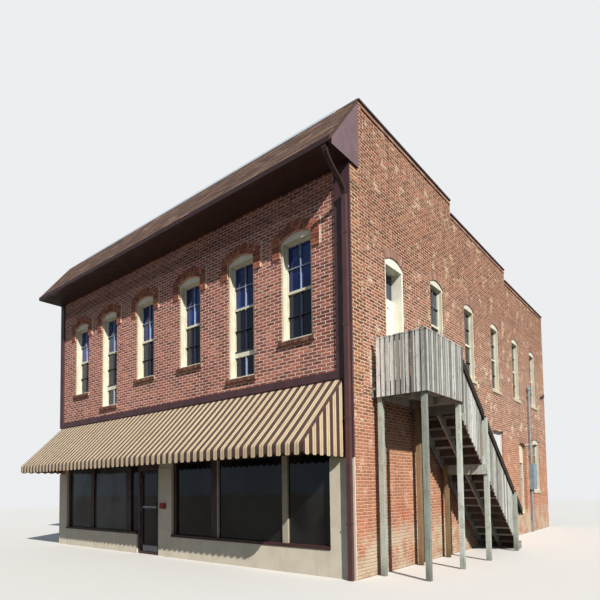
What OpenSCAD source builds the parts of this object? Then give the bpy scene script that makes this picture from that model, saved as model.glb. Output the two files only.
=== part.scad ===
// Two-storey brick corner shop with a striped awning and a timber stair on its side street.
// Millimetres. The origin is the middle of the footprint at ground level, +Z is up,
// the shopfront faces -Y and the side street lies on the +X side.

/* [Building] */
// Width of the shopfront side
front_w = 11140; // [11000:20:11400]
// Depth from the shopfront to the rear wall
side_len = 13900; // [13800:50:14600]
// Thickness of the brick walls
wall_t = 330; // [300:10:360]
// Thickness of the ground floor slab
slab_t = 60; // [40:5:80]
// Height of the upper floor surface above the ground
upper_floor_z = 3510; // [3480:10:3560]
// Thickness of the upper floor
upper_floor_t = 300; // [250:10:320]
// Height where the shop storey brickwork ends and the upper storey begins
storey_z = 3350; // [3320:10:3380]

/* [Roof and parapets] */
// Height of the side parapet nearest the street front
parapet_z = 9030; // [8950:10:9200]
// Drop of the side parapet at each step
parapet_drop = 345; // [300:5:360]
// Distance from the front to the first step of the side parapet
step_1_y = 4740; // [4500:20:5000]
// Distance from the front to the second step of the side parapet
step_2_y = 9170; // [8900:20:9400]
// Height of the roof surface behind the front wall
roof_front_z = 8480; // [8400:10:8520]
// Height of the roof surface at the rear wall
roof_rear_z = 7990; // [7900:10:8050]
// Thickness of the roof deck
roof_t = 220; // [180:10:260]
// Overhang of the roof deck past the rear wall
rear_overhang = 120; // [80:10:160]
// Thickness of the metal caps on the parapets
coping_t = 35; // [25:5:50]
// How far the metal caps stand past each wall face
coping_lip = 30; // [20:5:40]
// Gap between the metal caps at a step
coping_gap = 2; // [1:1:4]

/* [Pent roof over the street front] */
// How far the shingled slope stands out from the front wall
pent_out = 680; // [620:10:720]
// How far the shingled slope reaches back over the front wall
pent_back = 250; // [230:10:280]
// Height of the lower edge of the slope
pent_low_z = 7760; // [7740:10:7800]
// How far the top edge of the slope lies below the side parapet
pent_drop = 40; // [20:5:60]
// Thickness of the slope, measured upright
pent_t = 80; // [60:5:100]
// How far the fascia stands behind the lower edge of the slope
fascia_in = 60; // [50:5:70]
// Width of the white cap on the slope
cap_w = 90; // [60:5:120]
// Thickness of the white cap
cap_t = 12; // [8:1:16]
// How far the end boards stand out from the side walls
end_board_t = 40; // [30:5:60]
// Height of the underside of the eave boxing
soffit_z = 7640; // [7600:10:7650]
// Thickness of the eave boxing boards
soffit_t = 25; // [18:1:30]
// Width of the eave gutter
gutter_w = 100; // [80:5:120]
// Height of the front of the eave gutter
gutter_h = 100; // [80:5:110]
// Wall thickness of the gutter
gutter_t = 8; // [5:1:10]
// Depth of the downspout
downspout_d = 75; // [65:5:85]
// Width of the downspout
downspout_w = 90; // [80:5:100]
// Height of the bend that brings the downspout back to the wall
neck_h = 560; // [500:10:640]
// Length of the straight outlet under the gutter
outlet_h = 60; // [40:5:80]
// Gap between the downspout and the corner board
pipe_gap = 5; // [3:1:10]
// Distance from the side wall face to the centre of the downspout
downspout_x = 75; // [65:5:100]
// Width of the brown board at the right corner
corner_board_w = 340; // [300:10:380]
// Width of the brown board at the left corner
left_board_w = 200; // [160:10:240]
// Thickness of the corner boards
corner_board_t = 40; // [30:5:50]

/* [Upper windows] */
// Width of each street window opening
front_win_w = 800; // [760:10:840]
// Width of each side window opening
side_win_w = 720; // [680:10:760]
// Height where the arches of the street windows spring
front_spring_z = 6660; // [6600:10:6700]
// Height where the arches of the side windows spring
side_spring_z = 6490; // [6440:10:6540]
// Rise of the window arches
arch_rise = 110; // [90:5:130]
// Height of the short street window sills
front_sill_z = 4590; // [4550:10:4650]
// Height of the tall street window sills
tall_sill_z = 4050; // [4000:10:4100]
// Height of the side window sills
side_sill_z = 4550; // [4500:10:4600]
// Distance from each corner of the front to the middle of the outer window
win_outer_end = 1310; // [1250:10:1370]
// Distance of the second pair of windows from the middle, as a share of the outer pair's
win_mid_share = 0.6315; // [0.62:0.0005:0.64]
// Distance of the inner pair of windows from the middle, as a share of the outer pair's
win_inner_share = 0.2183; // [0.21:0.0001:0.225]
// Distance from each end of the side wall to its first opening
side_margin = 1640; // [1600:10:1680]
// Height where the arch over the upper side door springs
upper_door_spring = 6250; // [6200:10:6300]
// Rise of the arch over the upper side door
door_arch_rise = 130; // [110:5:150]
// Depth of the window frames behind the wall face
win_recess = 20; // [10:5:40]
// Depth of a window frame
win_frame_d = 175; // [175:5:200]
// Width of the window frame members
win_frame_w = 40; // [36:2:50]
// Distance from the face of a street window frame to its sashes
front_sash_in = 120; // [100:5:125]
// Distance from the face of a side window frame to its sashes
side_sash_in = 85; // [70:5:100]
// Thickness of the sashes
sash_t = 40; // [34:1:42]
// Height of the crossbar above the sills of the short street windows
tall_bar_h = 90; // [70:5:110]
// Width of the sash members
sash_w = 26; // [22:1:40]
// Width of the bars between the panes of a sash
bar_w = 14; // [12:1:24]
// Thickness of the glass
glass_t = 8; // [6:1:12]
// Height of the sills
sill_h = 90; // [70:5:110]
// How far the street window sills stand out from the wall
sill_out = 60; // [40:5:80]
// How far the stone sills of the side windows stand out from the wall
stone_sill_out = 30; // [20:5:50]
// How far a sill reaches past its opening on each side
sill_ear = 55; // [40:5:80]
// Height of a brick hood ring over a street window
hood_h = 210; // [180:10:230]
// How far the brick hoods stand out from the wall
hood_out = 35; // [20:5:50]
// Length of the upright ends of the hoods
hood_ear = 330; // [280:10:380]
// Distance from the middle of the rear wall to its inner pair of windows
rear_inner_x = 1100; // [1000:50:1200]
// Distance from the middle of the rear wall to its outer pair of windows
rear_outer_x = 3300; // [3200:50:3400]

/* [Shopfront] */
// Thickness of the stucco coat in front of the brick
stucco_t = 25; // [20:1:35]
// Width of the left end pilaster
pilaster_l = 485; // [460:5:520]
// Width of the left window bay
bay_l = 3841; // [3780:1:3900]
// Width of the shop door with its frame
door_bay = 950; // [940:5:980]
// Width of the pilaster beside the shop door
pilaster_m = 536; // [500:2:560]
// Width of the right end pilaster
pilaster_r = 551; // [520:1:580]
// Height of the low walls under the shop windows
knee_z = 500; // [450:10:540]
// Height of the sill trim over the low walls
shop_sill_h = 60; // [50:5:70]
// How far the sill trim stands out from the stucco
shop_sill_out = 15; // [10:5:25]
// Height of the underside of the head over the shop windows
shop_head_z = 2290; // [2280:5:2330]
// Height of the underside of the beam over the shopfront
beam_z = 2400; // [2390:10:2450]
// Depth of the shop window frames behind the wall face
shop_recess = 40; // [30:5:60]
// Depth of the shop window frames
shop_frame_d = 90; // [80:5:120]
// Width of the outer members of the shop window frames
shop_edge_w = 108; // [90:2:120]
// Width of the last member at the right end
shop_edge_r = 38; // [30:2:50]
// Width of the first glass pane from the left
pane_1 = 1243; // [1200:1:1280]
// Width of the post after the first pane
post_1 = 176; // [150:2:200]
// Width of the second glass pane
pane_2 = 1692; // [1650:1:1730]
// Width of the post after the second pane
post_2 = 240; // [220:2:260]
// Width of the first glass pane right of the door
pane_3 = 1287; // [1250:1:1320]
// Width of the post after that pane
post_3 = 239; // [220:1:260]
// Width of the post before the last pane
post_4 = 141; // [120:1:160]
// Width of the last glass pane
pane_5 = 1050; // [1000:1:1120]

/* [Doors] */
// Width of the shop door jambs
jamb_w = 85; // [70:5:95]
// Depth of the shop door jambs
jamb_d = 140; // [130:5:160]
// How far the shop door jambs stand behind the wall face
jamb_in = 20; // [15:5:30]
// How far the shop door leaf stands behind the wall face
leaf_in = 60; // [55:5:80]
// Height of the top of the shop door leaf
shop_door_top = 2140; // [2100:10:2180]
// Thickness of the door leaves
leaf_t = 45; // [40:1:50]
// Clearance round a door leaf
leaf_gap = 7; // [7:0.5:10]
// Width of the shop door leaf members
stile_w = 70; // [60:5:85]
// Height of the bottom rail of the shop door leaf
kick_h = 150; // [120:10:200]
// Height of the middle rail of the shop door leaf
lock_rail_z = 1180; // [1100:10:1250]
// Width of the middle rail of the shop door leaf
lock_rail_h = 50; // [40:5:70]
// Radius of the hinge knuckles
knuckle_r = 6; // [5:0.5:6]
// Length of a hinge knuckle
knuckle_l = 100; // [80:10:120]
// Distance from a door leaf's face to its hinge axis
hinge_out = 10; // [8:1:12]
// Width of the hinge plates on a leaf
hinge_plate_w = 30; // [25:5:40]
// Length of the pull handle of the shop door
pull_l = 300; // [250:10:350]
// Distance from the pull handle to the leaf
pull_out = 45; // [40:5:60]
// Diameter of the pull handle
pull_d = 22; // [18:1:26]
// Distance from each end of a door leaf to its nearest hinge
hinge_in = 200; // [150:10:250]
// Distance from the rear wall to the near edge of the side door opening
side_door_rear = 3700; // [3650:10:3750]
// Width of the side door opening
side_door_w = 800; // [780:10:840]
// Height of the side door threshold
side_door_sill = 680; // [650:10:720]
// Height of the crossbar over the side door leaf
side_door_bar_z = 2416; // [2380:4:2460]
// Height where the arch over the side door springs
side_door_spring = 3000; // [2960:10:3040]
// Width of the side door jambs
side_jamb_w = 60; // [50:5:70]
// Depth of the side door frames
side_frame_d = 120; // [110:5:140]
// Thickness of the threshold board
threshold_t = 30; // [25:5:40]
// Depth of the door recess behind the side wall face
door_recess = 110; // [90:5:130]
// How far the upper door leaf stands behind the wall face
upper_leaf_in = 250; // [220:10:250]
// Height of the glazed space over the upper door leaf
transom_h = 550; // [500:10:600]
// Height of the bar over the upper door leaf
transom_bar_h = 70; // [60:5:80]

/* [Lower side windows] */
// Distance of the boarded window behind the axis of the window above it
board_win_shift = 48; // [0:4:80]
// Width of the boarded window opening
board_win_w = 950; // [900:10:1000]
// Height of the top of the boarded window
board_win_top = 3300; // [3250:10:3315]
// How far the boards of that window stand behind the wall face
board_recess = 60; // [50:5:80]
// Distance of the lower rear window behind the axis of the window above it
low_win_shift = 90; // [60:10:120]
// Width of the lower rear window opening
low_win_w = 900; // [850:10:950]
// Height of the lower window sills
low_sill_z = 1440; // [1400:10:1480]
// Height where the arches of the lower windows spring
low_spring_z = 3200; // [3170:5:3205]
// Height where the arches of the lower windows of the rear wall spring
rear_spring_z = 3030; // [2980:10:3080]

/* [Awning] */
// How far the awning stands out from the wall
awning_out = 1230; // [1150:10:1300]
// Height of the top of the awning
awning_top_z = 3650; // [3600:10:3700]
// Height where the slope turns down into the valance
awning_low_z = 2360; // [2330:10:2400]
// Height of the lower edge of the valance
valance_z = 2190; // [2185:5:2230]
// Radius of the turn into the valance
awning_r = 90; // [70:5:110]
// Thickness of the awning cloth
cloth_t = 10; // [8:1:14]
// Gap between the awning and the left corner
awning_left = 90; // [60:5:120]
// Gap between the awning and the right corner
awning_right = 200; // [150:5:230]
// Side of the square awning tubes
tube = 30; // [25:1:38]
// Clearance between the awning tubes and the cloth
tube_gap = 5; // [3:1:8]
// Number of bays between the awning rafters
awning_bays = 6; // [5:1:7]
// Distance from the top of the awning to its wall tube
wall_tube_drop = 120; // [100:5:140]
// Distance from the lower edge of the valance to the front tube
front_tube_up = 40; // [30:5:60]
// Height of the brown board over the awning
flashing_h = 150; // [120:5:170]

/* [Side stair] */
// Distance from the front to the near side of the landing
landing_y = 600; // [560:10:640]
// Length of the landing along the wall
landing_l = 1720; // [1680:10:1760]
// Width of the landing
landing_w = 1120; // [1080:10:1180]
// Depth of the landing joists
joist_d = 140; // [120:5:145]
// Depth of the header board that carries the flight
header_d = 210; // [190:10:240]
// Thickness of the planks
plank_t = 38; // [32:1:45]
// Width of a deck plank with its gap
deck_pitch = 143; // [130:1:150]
// Gap between the deck planks
deck_gap = 6; // [4:1:10]
// Rise of each step
riser = 195; // [193:0.5:197]
// Depth of each step
going = 235; // [225:1:245]
// How far a tread reaches over the one below
nosing = 20; // [10:5:25]
// Depth of the stair carriages under the steps
throat = 110; // [90:5:120]
// How far the flight stands in from the outer edge of the landing
flight_in = 90; // [70:5:110]
// Distance from the side wall to the carriage beside it
carriage_in = 40; // [30:5:60]
// Side of the square landing posts
post_w = 89; // [80:1:100]
// Distance from the side wall to the posts beside it
wall_post_in = 110; // [90:10:140]
// Side of the square posts along the flight
newel_w = 95; // [85:5:105]
// Depth of the beam under the flight
flight_beam_d = 190; // [170:10:210]
// Height of the landing guard above the deck
guard_h = 910; // [880:10:950]
// How far the guard boards hang below the deck
guard_drop = 185; // [180:5:200]
// Distance between guard boards, middle to middle
board_pitch = 101; // [98:1:110]
// Width of a guard board
board_w = 82; // [76:1:88]
// Thickness of a guard board
board_t = 20; // [16:1:24]
// Depth of the rails behind the guard boards
guard_rail_d = 90; // [80:5:100]
// Thickness of the cap on the landing guard
guard_cap_t = 25; // [20:1:30]
// How far the corner post stands above the landing guard
knob_h = 45; // [30:5:60]
// Height of the handrail above the edges of the steps
rail_h = 850; // [820:10:900]
// Depth of the handrail, measured upright
rail_d = 175; // [150:5:190]
// Length of the boards beside the stair
stair_board_l = 1290; // [1250:10:1330]
// Distance from the front to the post halfway down the stair
post_4_y = 3665; // [3620:5:3700]
// Distance from the front to the post at the foot of the stair
newel_y = 5700; // [5640:10:5760]
// Distance from the front to the lower end of the handrail
rail_end_y = 6330; // [6200:10:6330]

/* [Electric service] */
// Distance from the rear wall to the conduit
conduit_rear = 2530; // [2500:10:2560]
// Diameter of the conduit
conduit_d = 60; // [50:2:70]
// Height of the top of the conduit
conduit_top = 5030; // [4950:10:5100]
// Diameter of the weatherhead
head_d = 130; // [110:5:150]
// Width of the meter cabinet
cabinet_w = 420; // [380:10:440]
// Height of the underside of the meter cabinet
cabinet_z = 1490; // [1450:10:1530]
// Height of the meter cabinet
cabinet_h = 920; // [880:10:950]
// Depth of the meter cabinet
cabinet_d = 160; // [140:5:180]
// Width of the small box beside the cabinet
meter_w = 100; // [80:5:110]
// Height of the small box
meter_h = 380; // [340:10:420]
// Depth of the small box
meter_d = 130; // [110:5:140]

/* [Hidden] */

brick_red = [0.50, 0.25, 0.20];
cream = [0.88, 0.87, 0.76];
trim_brown = [0.27, 0.17, 0.17];
grey_timber = [0.60, 0.59, 0.56];
stucco_grey = [0.68, 0.66, 0.58];
glass_blue = [0.35, 0.45, 0.55, 0.5];

right_x = front_w / 2;
left_x = -front_w / 2;
front_y = -side_len / 2;
rear_y = side_len / 2;
through = 20;
seat_gap = 0.5;
overlap = 1;

pent_top_z = parapet_z - pent_drop;
pent_slope = (pent_top_z - pent_low_z) / (pent_out + pent_back);
fascia_y = -(pent_out - fascia_in);

win_outer_x = right_x - win_outer_end;
front_win_x = [for (share = [-1, -win_mid_share, -win_inner_share, win_inner_share, win_mid_share, 1])
    share * win_outer_x];
front_win_sill = [front_sill_z, tall_sill_z, front_sill_z, front_sill_z, tall_sill_z, front_sill_z];
side_pitch = (side_len - 2 * side_margin) / 5;
side_axis_y = [for (i = [0:5]) front_y + side_margin + i * side_pitch];
side_win_y = [for (i = [1:5]) side_axis_y[i]];
upper_door_y = side_axis_y[0];
upper_leaf_h = upper_door_spring - upper_floor_z - side_jamb_w - transom_h - transom_bar_h;
board_win_y = side_axis_y[3] + board_win_shift;
low_win_y = side_axis_y[5] + low_win_shift;
rear_win_x = [-rear_outer_x, -rear_inner_x, rear_inner_x, rear_outer_x];
side_door_y0 = rear_y - side_door_rear;
side_door_y1 = side_door_y0 + side_door_w;

// Shopfront divisions from the left corner
bay_l_x = left_x + pilaster_l;
door_x0 = bay_l_x + bay_l;
door_x1 = door_x0 + door_bay;
bay_r_x = door_x1 + pilaster_m;
bay_r_end = right_x - pilaster_r;
sidelight = bay_l - shop_edge_w - pane_1 - post_1 - pane_2 - post_2;
pane_4 = bay_r_end - bay_r_x - shop_edge_w - pane_3 - post_3 - post_4 - pane_5 - shop_edge_r;

// Stair set-out, along the side wall
landing_x1 = right_x + landing_w;
landing_y0 = front_y + landing_y;
stair_top_y = landing_y0 + landing_l;
joist_z = upper_floor_z - plank_t - joist_d;
step_slope = riser / going;
steps = round(upper_floor_z / riser) - 1;
flight_x1 = landing_x1 - flight_in;

// Height of the pent roof surface at a distance y in front of (negative) or behind the wall face
function pent_z(y) = pent_low_z + (y + pent_out) * pent_slope;

// Height of the roof surface at y
function roof_z(y) = roof_front_z + (roof_rear_z - roof_front_z) * (y - front_y) / side_len;

// Height of the line through the edges of the steps at y
function step_line(y) = upper_floor_z - (y - stair_top_y) * step_slope;

// Height of the underside of the stair carriages at y
function carriage_low(y) = step_line(y) - riser - plank_t - throat;

// Back edge and top of step i, counted from the landing
function tread_y(i) = stair_top_y + (i - 1) * going;
function tread_z(i) = upper_floor_z - i * riser;

// Turns an outline drawn as [y, z] into a slab from x0 to x1
module slab_x(x0, x1) {
    translate([x0, 0, 0]) rotate([90, 0, 90]) linear_extrude(height = x1 - x0) children();
}

// Turns an outline drawn as [x, z] into a slab from y0 to y1
module slab_y(y0, y1) {
    translate([0, y1, 0]) rotate([90, 0, 0]) linear_extrude(height = y1 - y0) children();
}

// Box between two corners
module block(a, b) {
    translate(a) cube(b - a);
}

// Outline of an opening with a flat bottom and a segmental arch, standing on y = 0
module arched_outline(w, spring, rise) {
    r = (w * w / 4 + rise * rise) / (2 * rise);
    translate([-w / 2, 0]) square([w, spring]);
    intersection() {
        translate([0, spring + rise - r]) circle(r = r, $fn = 96);
        translate([-w / 2, spring - rise]) square([w, 2 * rise + overlap]);
    }
}

// Cuts arched openings through a wall that faces the street front
module front_openings(xs, sills, w, spring, y0, y1) {
    for (i = [0:len(xs) - 1])
        slab_y(y0, y1) translate([xs[i], sills[i]]) arched_outline(w, spring - sills[i], arch_rise);
}

// Cuts one arched opening through a wall that faces the side street
module side_opening(y, sill, w, spring, rise) {
    slab_x(right_x - wall_t - through, right_x + through)
        translate([y, sill]) arched_outline(w, spring - sill, rise);
}

// Floors and roof
module ground_floor() {
    color("silver")
    block([left_x + wall_t, front_y + wall_t, 0], [right_x - wall_t, rear_y - wall_t, slab_t]);
}

module upper_floor() {
    color("tan")
    block([left_x + wall_t, front_y + wall_t, upper_floor_z - upper_floor_t],
          [right_x - wall_t, rear_y - wall_t, upper_floor_z]);
}

module roof_deck() {
    y0 = front_y + wall_t;
    y1 = rear_y + rear_overhang;
    color([0.35, 0.35, 0.36])
    slab_x(left_x + wall_t, right_x - wall_t)
        polygon([[y0, roof_z(y0)], [y1, roof_z(y1)], [y1, roof_z(y1) - roof_t], [y0, roof_z(y0) - roof_t]]);
}

// Walls
module front_wall() {
    wall_top = pent_z(pent_back) - pent_t;
    color(brick_red)
    difference() {
        slab_x(left_x, right_x) translate([front_y, 0])
            polygon([[0, storey_z], [wall_t, storey_z], [wall_t, wall_top],
                     [pent_back, wall_top], [0, pent_z(0) - pent_t]]);
        front_openings(front_win_x, front_win_sill, front_win_w, front_spring_z,
                       front_y - through, front_y + wall_t + through);
    }
}

module side_wall_front() {
    color(brick_red)
    difference() {
        block([right_x - wall_t, front_y, 0], [right_x, side_door_y0, storey_z]);
        block([right_x - wall_t - through, board_win_y - board_win_w / 2, low_sill_z],
              [right_x + through, board_win_y + board_win_w / 2, board_win_top]);
    }
}

module side_wall_rear() {
    color(brick_red)
    difference() {
        block([right_x - wall_t, side_door_y1, 0], [right_x, rear_y, storey_z]);
        side_opening(low_win_y, low_sill_z, low_win_w, low_spring_z, arch_rise);
    }
}

module side_door_masonry() {
    color(brick_red) {
        block([right_x - wall_t, side_door_y0, 0], [right_x, side_door_y1, side_door_sill]);
        difference() {
            block([right_x - wall_t, side_door_y0, side_door_spring], [right_x, side_door_y1, storey_z]);
            side_opening((side_door_y0 + side_door_y1) / 2, side_door_sill, side_door_w,
                         side_door_spring, arch_rise);
        }
    }
}

// Outline of an upper side wall in [y, z], stepped down twice towards the rear
module stepped_outline(y0) {
    step_a = front_y + step_1_y;
    step_b = front_y + step_2_y;
    low_z = parapet_z - 2 * parapet_drop;
    mid_z = parapet_z - parapet_drop;
    polygon([[y0, storey_z], [rear_y, storey_z], [rear_y, low_z], [step_b, low_z],
             [step_b, mid_z], [step_a, mid_z], [step_a, parapet_z], [y0, parapet_z]]);
}

module side_wall_upper() {
    color(brick_red)
    difference() {
        slab_x(right_x - wall_t, right_x) stepped_outline(front_y + wall_t);
        for (y = side_win_y) side_opening(y, side_sill_z, side_win_w, side_spring_z, arch_rise);
        side_opening(upper_door_y, upper_floor_z, side_door_w, upper_door_spring, door_arch_rise);
    }
}

module party_wall() {
    color(brick_red)
    slab_x(left_x, left_x + wall_t) union() {
        stepped_outline(front_y + wall_t);
        translate([front_y, 0]) square([side_len, storey_z]);
    }
}

module rear_wall() {
    y0 = rear_y - wall_t;
    color(brick_red)
    difference() {
        slab_x(left_x + wall_t, right_x - wall_t)
            polygon([[y0, 0], [rear_y, 0], [rear_y, roof_z(rear_y) - roof_t], [y0, roof_z(y0) - roof_t]]);
        for (x = rear_win_x) for (row = [[side_sill_z, side_spring_z], [low_sill_z, rear_spring_z]])
            slab_y(y0 - through, rear_y + through) translate([x, row[0]])
                arched_outline(side_win_w, row[1] - row[0], arch_rise);
    }
}

// Brick hoods and sills of the street windows
module hood_outline() {
    outer_w = front_win_w + 2 * hood_h;
    outer_rise = arch_rise * 2;
    difference() {
        translate([0, -hood_ear])
            arched_outline(outer_w, hood_ear + hood_h + arch_rise - outer_rise, outer_rise);
        translate([0, -hood_ear - overlap]) arched_outline(front_win_w, hood_ear + overlap, arch_rise);
    }
}

module front_window_brickwork() {
    half = front_win_w / 2 + sill_ear;
    color([0.42, 0.22, 0.18])
    for (i = [0:len(front_win_x) - 1]) {
        slab_y(front_y - hood_out, front_y) translate([front_win_x[i], front_spring_z]) hood_outline();
        block([front_win_x[i] - half, front_y - sill_out, front_win_sill[i] - sill_h],
              [front_win_x[i] + half, front_y, front_win_sill[i]]);
    }
}

module stone_sill(y, w, z) {
    block([right_x, y - w / 2 - sill_ear, z - sill_h], [right_x + stone_sill_out, y + w / 2 + sill_ear, z]);
}

module side_sills() {
    color(cream) {
        for (y = side_win_y) stone_sill(y, side_win_w, side_sill_z);
        stone_sill(low_win_y, low_win_w, low_sill_z);
    }
}

// The space inside a window frame in [x, z], for a window that stands on y = 0
module window_pane(w, spring) {
    translate([-w / 2 + win_frame_w, win_frame_w]) square([w - 2 * win_frame_w, spring - 2 * win_frame_w]);
}

// A window frame with its arched head board
module frame_outline(w, spring) {
    difference() {
        arched_outline(w, spring, arch_rise);
        window_pane(w, spring);
    }
}

// A sash that fills the box from [x0, z0] to [x1, z1], with bars between its panes
module sash_outline(x0, z0, x1, z1, crossbar) {
    difference() {
        translate([x0, z0]) square([x1 - x0, z1 - z0]);
        translate([x0 + sash_w, z0 + sash_w]) square([x1 - x0 - 2 * sash_w, z1 - z0 - 2 * sash_w]);
    }
    translate([(x0 + x1 - bar_w) / 2, z0]) square([bar_w, z1 - z0]);
    if (crossbar) translate([x0, (z0 + z1 - bar_w) / 2]) square([x1 - x0, bar_w]);
}

// The upper and the lower sash between the heights z0 and z1
module sash_pair(w, z0, z1) {
    x1 = w / 2 - win_frame_w;
    mid = (z0 + z1) / 2;
    sash_outline(-x1, z0, x1, mid, true);
    sash_outline(-x1, mid, x1, z1, true);
}

// A street window: a pair of sashes, and on the tall ones a crossbar with a fixed light below it
module front_window_sashes(sill) {
    bar_z = front_sill_z - sill;
    top = front_spring_z - sill - win_frame_w;
    if (bar_z > 0) {
        x1 = front_win_w / 2 - win_frame_w;
        sash_pair(front_win_w, bar_z + tall_bar_h, top);
        translate([-x1, bar_z]) square([2 * x1, tall_bar_h]);
        sash_outline(-x1, win_frame_w, x1, bar_z, false);
    } else {
        sash_pair(front_win_w, win_frame_w, top);
    }
}

module front_window_frames() {
    y0 = front_y + win_recess;
    color(cream)
    for (i = [0:len(front_win_x) - 1]) translate([front_win_x[i], 0, front_win_sill[i]]) {
        slab_y(y0, y0 + win_frame_d) frame_outline(front_win_w, front_spring_z - front_win_sill[i]);
        slab_y(y0 + front_sash_in, y0 + front_sash_in + sash_t) front_window_sashes(front_win_sill[i]);
    }
}

module front_window_glass() {
    y0 = front_y + win_recess + front_sash_in + sash_t;
    color(glass_blue)
    for (i = [0:len(front_win_x) - 1])
        slab_y(y0, y0 + glass_t) translate([front_win_x[i], front_win_sill[i]])
            window_pane(front_win_w, front_spring_z - front_win_sill[i]);
}

// One side window: its frame and sashes
module side_window(y, sill, w, spring) {
    x1 = right_x - win_recess;
    h = spring - sill;
    translate([0, y, sill]) {
        slab_x(x1 - win_frame_d, x1) frame_outline(w, h);
        slab_x(x1 - side_sash_in - sash_t, x1 - side_sash_in) sash_pair(w, win_frame_w, h - win_frame_w);
    }
}

module side_window_frames() {
    color(cream) {
        for (y = side_win_y) side_window(y, side_sill_z, side_win_w, side_spring_z);
        side_window(low_win_y, low_sill_z, low_win_w, low_spring_z);
    }
}

module side_window_glass() {
    x1 = right_x - win_recess - side_sash_in - sash_t;
    door_x = right_x - upper_leaf_in - leaf_t / 2;
    color(glass_blue) {
        for (y = side_win_y)
            slab_x(x1 - glass_t, x1) translate([y, side_sill_z])
                window_pane(side_win_w, side_spring_z - side_sill_z);
        slab_x(x1 - glass_t, x1) translate([low_win_y, low_sill_z])
            window_pane(low_win_w, low_spring_z - low_sill_z);
        slab_x(door_x, door_x + glass_t) translate([upper_door_y, upper_floor_z]) transom_light();
    }
}

// Rear windows: frame, sashes and pane in one
module rear_window(sill, spring) {
    y1 = rear_y - win_recess;
    h = spring - sill;
    translate([0, 0, sill]) {
        slab_y(y1 - win_frame_d, y1) frame_outline(side_win_w, h);
        slab_y(y1 - side_sash_in - sash_t, y1 - side_sash_in)
            sash_pair(side_win_w, win_frame_w, h - win_frame_w);
        slab_y(y1 - side_sash_in - sash_t - glass_t, y1 - side_sash_in - sash_t) window_pane(side_win_w, h);
    }
}

module rear_windows() {
    color(cream)
    for (x = rear_win_x) translate([x, 0, 0]) {
        rear_window(side_sill_z, side_spring_z);
        rear_window(low_sill_z, rear_spring_z);
    }
}

// The sunk panels of a door leaf of width w and height h, two panels a row
module door_panels(w, h) {
    margin = w / 6;
    gap = w / 8;
    panel_w = (w - 2 * margin - gap) / 2;
    for (x = [margin, margin + panel_w + gap]) {
        translate([x, margin]) square([panel_w, h * 0.4 - margin]);
        translate([x, h * 0.4 + gap]) square([panel_w, h * 0.6 - margin - gap]);
    }
}

// The space over the upper door leaf, from the bar to the flat head of the box frame
module transom_light() {
    w = side_door_w - 2 * side_jamb_w;
    translate([-w / 2, upper_leaf_h + transom_bar_h]) square([w, transom_h]);
}

// Upper side door: a deep cream box with an arched head, a bar and a leaf that stays shut
module upper_side_door() {
    w = side_door_w - 2 * side_jamb_w;
    spring = upper_door_spring - upper_floor_z;
    leaf_x1 = right_x - upper_leaf_in;
    color(cream)
    translate([0, upper_door_y, upper_floor_z]) {
        slab_x(leaf_x1 - leaf_t, right_x - win_recess) difference() {
            arched_outline(side_door_w, spring, door_arch_rise);
            translate([-w / 2, -overlap]) square([w, spring - side_jamb_w + overlap]);
        }
        slab_x(leaf_x1 - leaf_t, leaf_x1) difference() {
            translate([-w / 2, 0]) square([w, upper_leaf_h + transom_bar_h]);
            translate([-w / 2, 0]) door_panels(w, upper_leaf_h);
        }
        slab_x(leaf_x1 - leaf_t * 2 / 3, leaf_x1 - leaf_t / 3)
            translate([-w / 2, 0]) square([w, upper_leaf_h]);
    }
}

module boarded_window() {
    x1 = right_x - board_recess;
    w = board_win_w;
    h = board_win_top - low_sill_z;
    color("white")
    translate([0, board_win_y, low_sill_z]) {
        slab_x(x1 - win_frame_d, x1) difference() {
            translate([-w / 2, 0]) square([w, h]);
            window_pane(w, h);
        }
        slab_x(x1 - win_frame_w - sash_t, x1 - win_frame_w) window_pane(w, h);
    }
}

// Side door at ground level
module side_door_frame() {
    x1 = right_x - door_recess;
    leaf_top = side_door_bar_z - side_door_sill;
    color(cream)
    translate([0, (side_door_y0 + side_door_y1) / 2, side_door_sill])
    slab_x(x1 - side_frame_d, x1) difference() {
        arched_outline(side_door_w, side_door_spring - side_door_sill - seat_gap, arch_rise);
        translate([-side_door_w / 2 + side_jamb_w, threshold_t])
            square([side_door_w - 2 * side_jamb_w, leaf_top - threshold_t]);
    }
}

side_leaf_x1 = right_x - door_recess - side_frame_d / 2;
side_leaf_y0 = side_door_y0 + side_jamb_w + leaf_gap;
side_leaf_z0 = side_door_sill + threshold_t + leaf_gap;

// Heights of the hinges of a leaf that runs from z0 to z1
function hinge_heights(z0, z1) = [z0 + hinge_in, (z0 + z1) / 2, z1 - hinge_in - knuckle_l];

module side_door() {
    w = side_door_w - 2 * side_jamb_w - 2 * leaf_gap;
    h = side_door_bar_z - leaf_gap - side_leaf_z0;
    axis_x = side_leaf_x1 - leaf_t - hinge_out;
    color([0.62, 0.62, 0.58]) {
        translate([0, side_leaf_y0, side_leaf_z0]) {
            slab_x(side_leaf_x1 - leaf_t, side_leaf_x1) difference() {
                square([w, h]);
                door_panels(w, h);
            }
            slab_x(side_leaf_x1 - leaf_t * 2 / 3, side_leaf_x1 - leaf_t / 3) square([w, h]);
        }
        for (z = hinge_heights(side_leaf_z0, side_leaf_z0 + h)) {
            translate([axis_x, side_leaf_y0, z]) cylinder(r = knuckle_r, h = knuckle_l, $fn = 24);
            block([axis_x, side_leaf_y0, z],
                  [side_leaf_x1 - leaf_t, side_leaf_y0 + hinge_plate_w, z + knuckle_l]);
        }
        translate([side_leaf_x1 - overlap, side_leaf_y0 + w - stile_w / 2, lock_rail_z + side_door_sill])
            rotate([0, 90, 0]) cylinder(d = leaf_t, h = pull_out, $fn = 24);
    }
}

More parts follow.
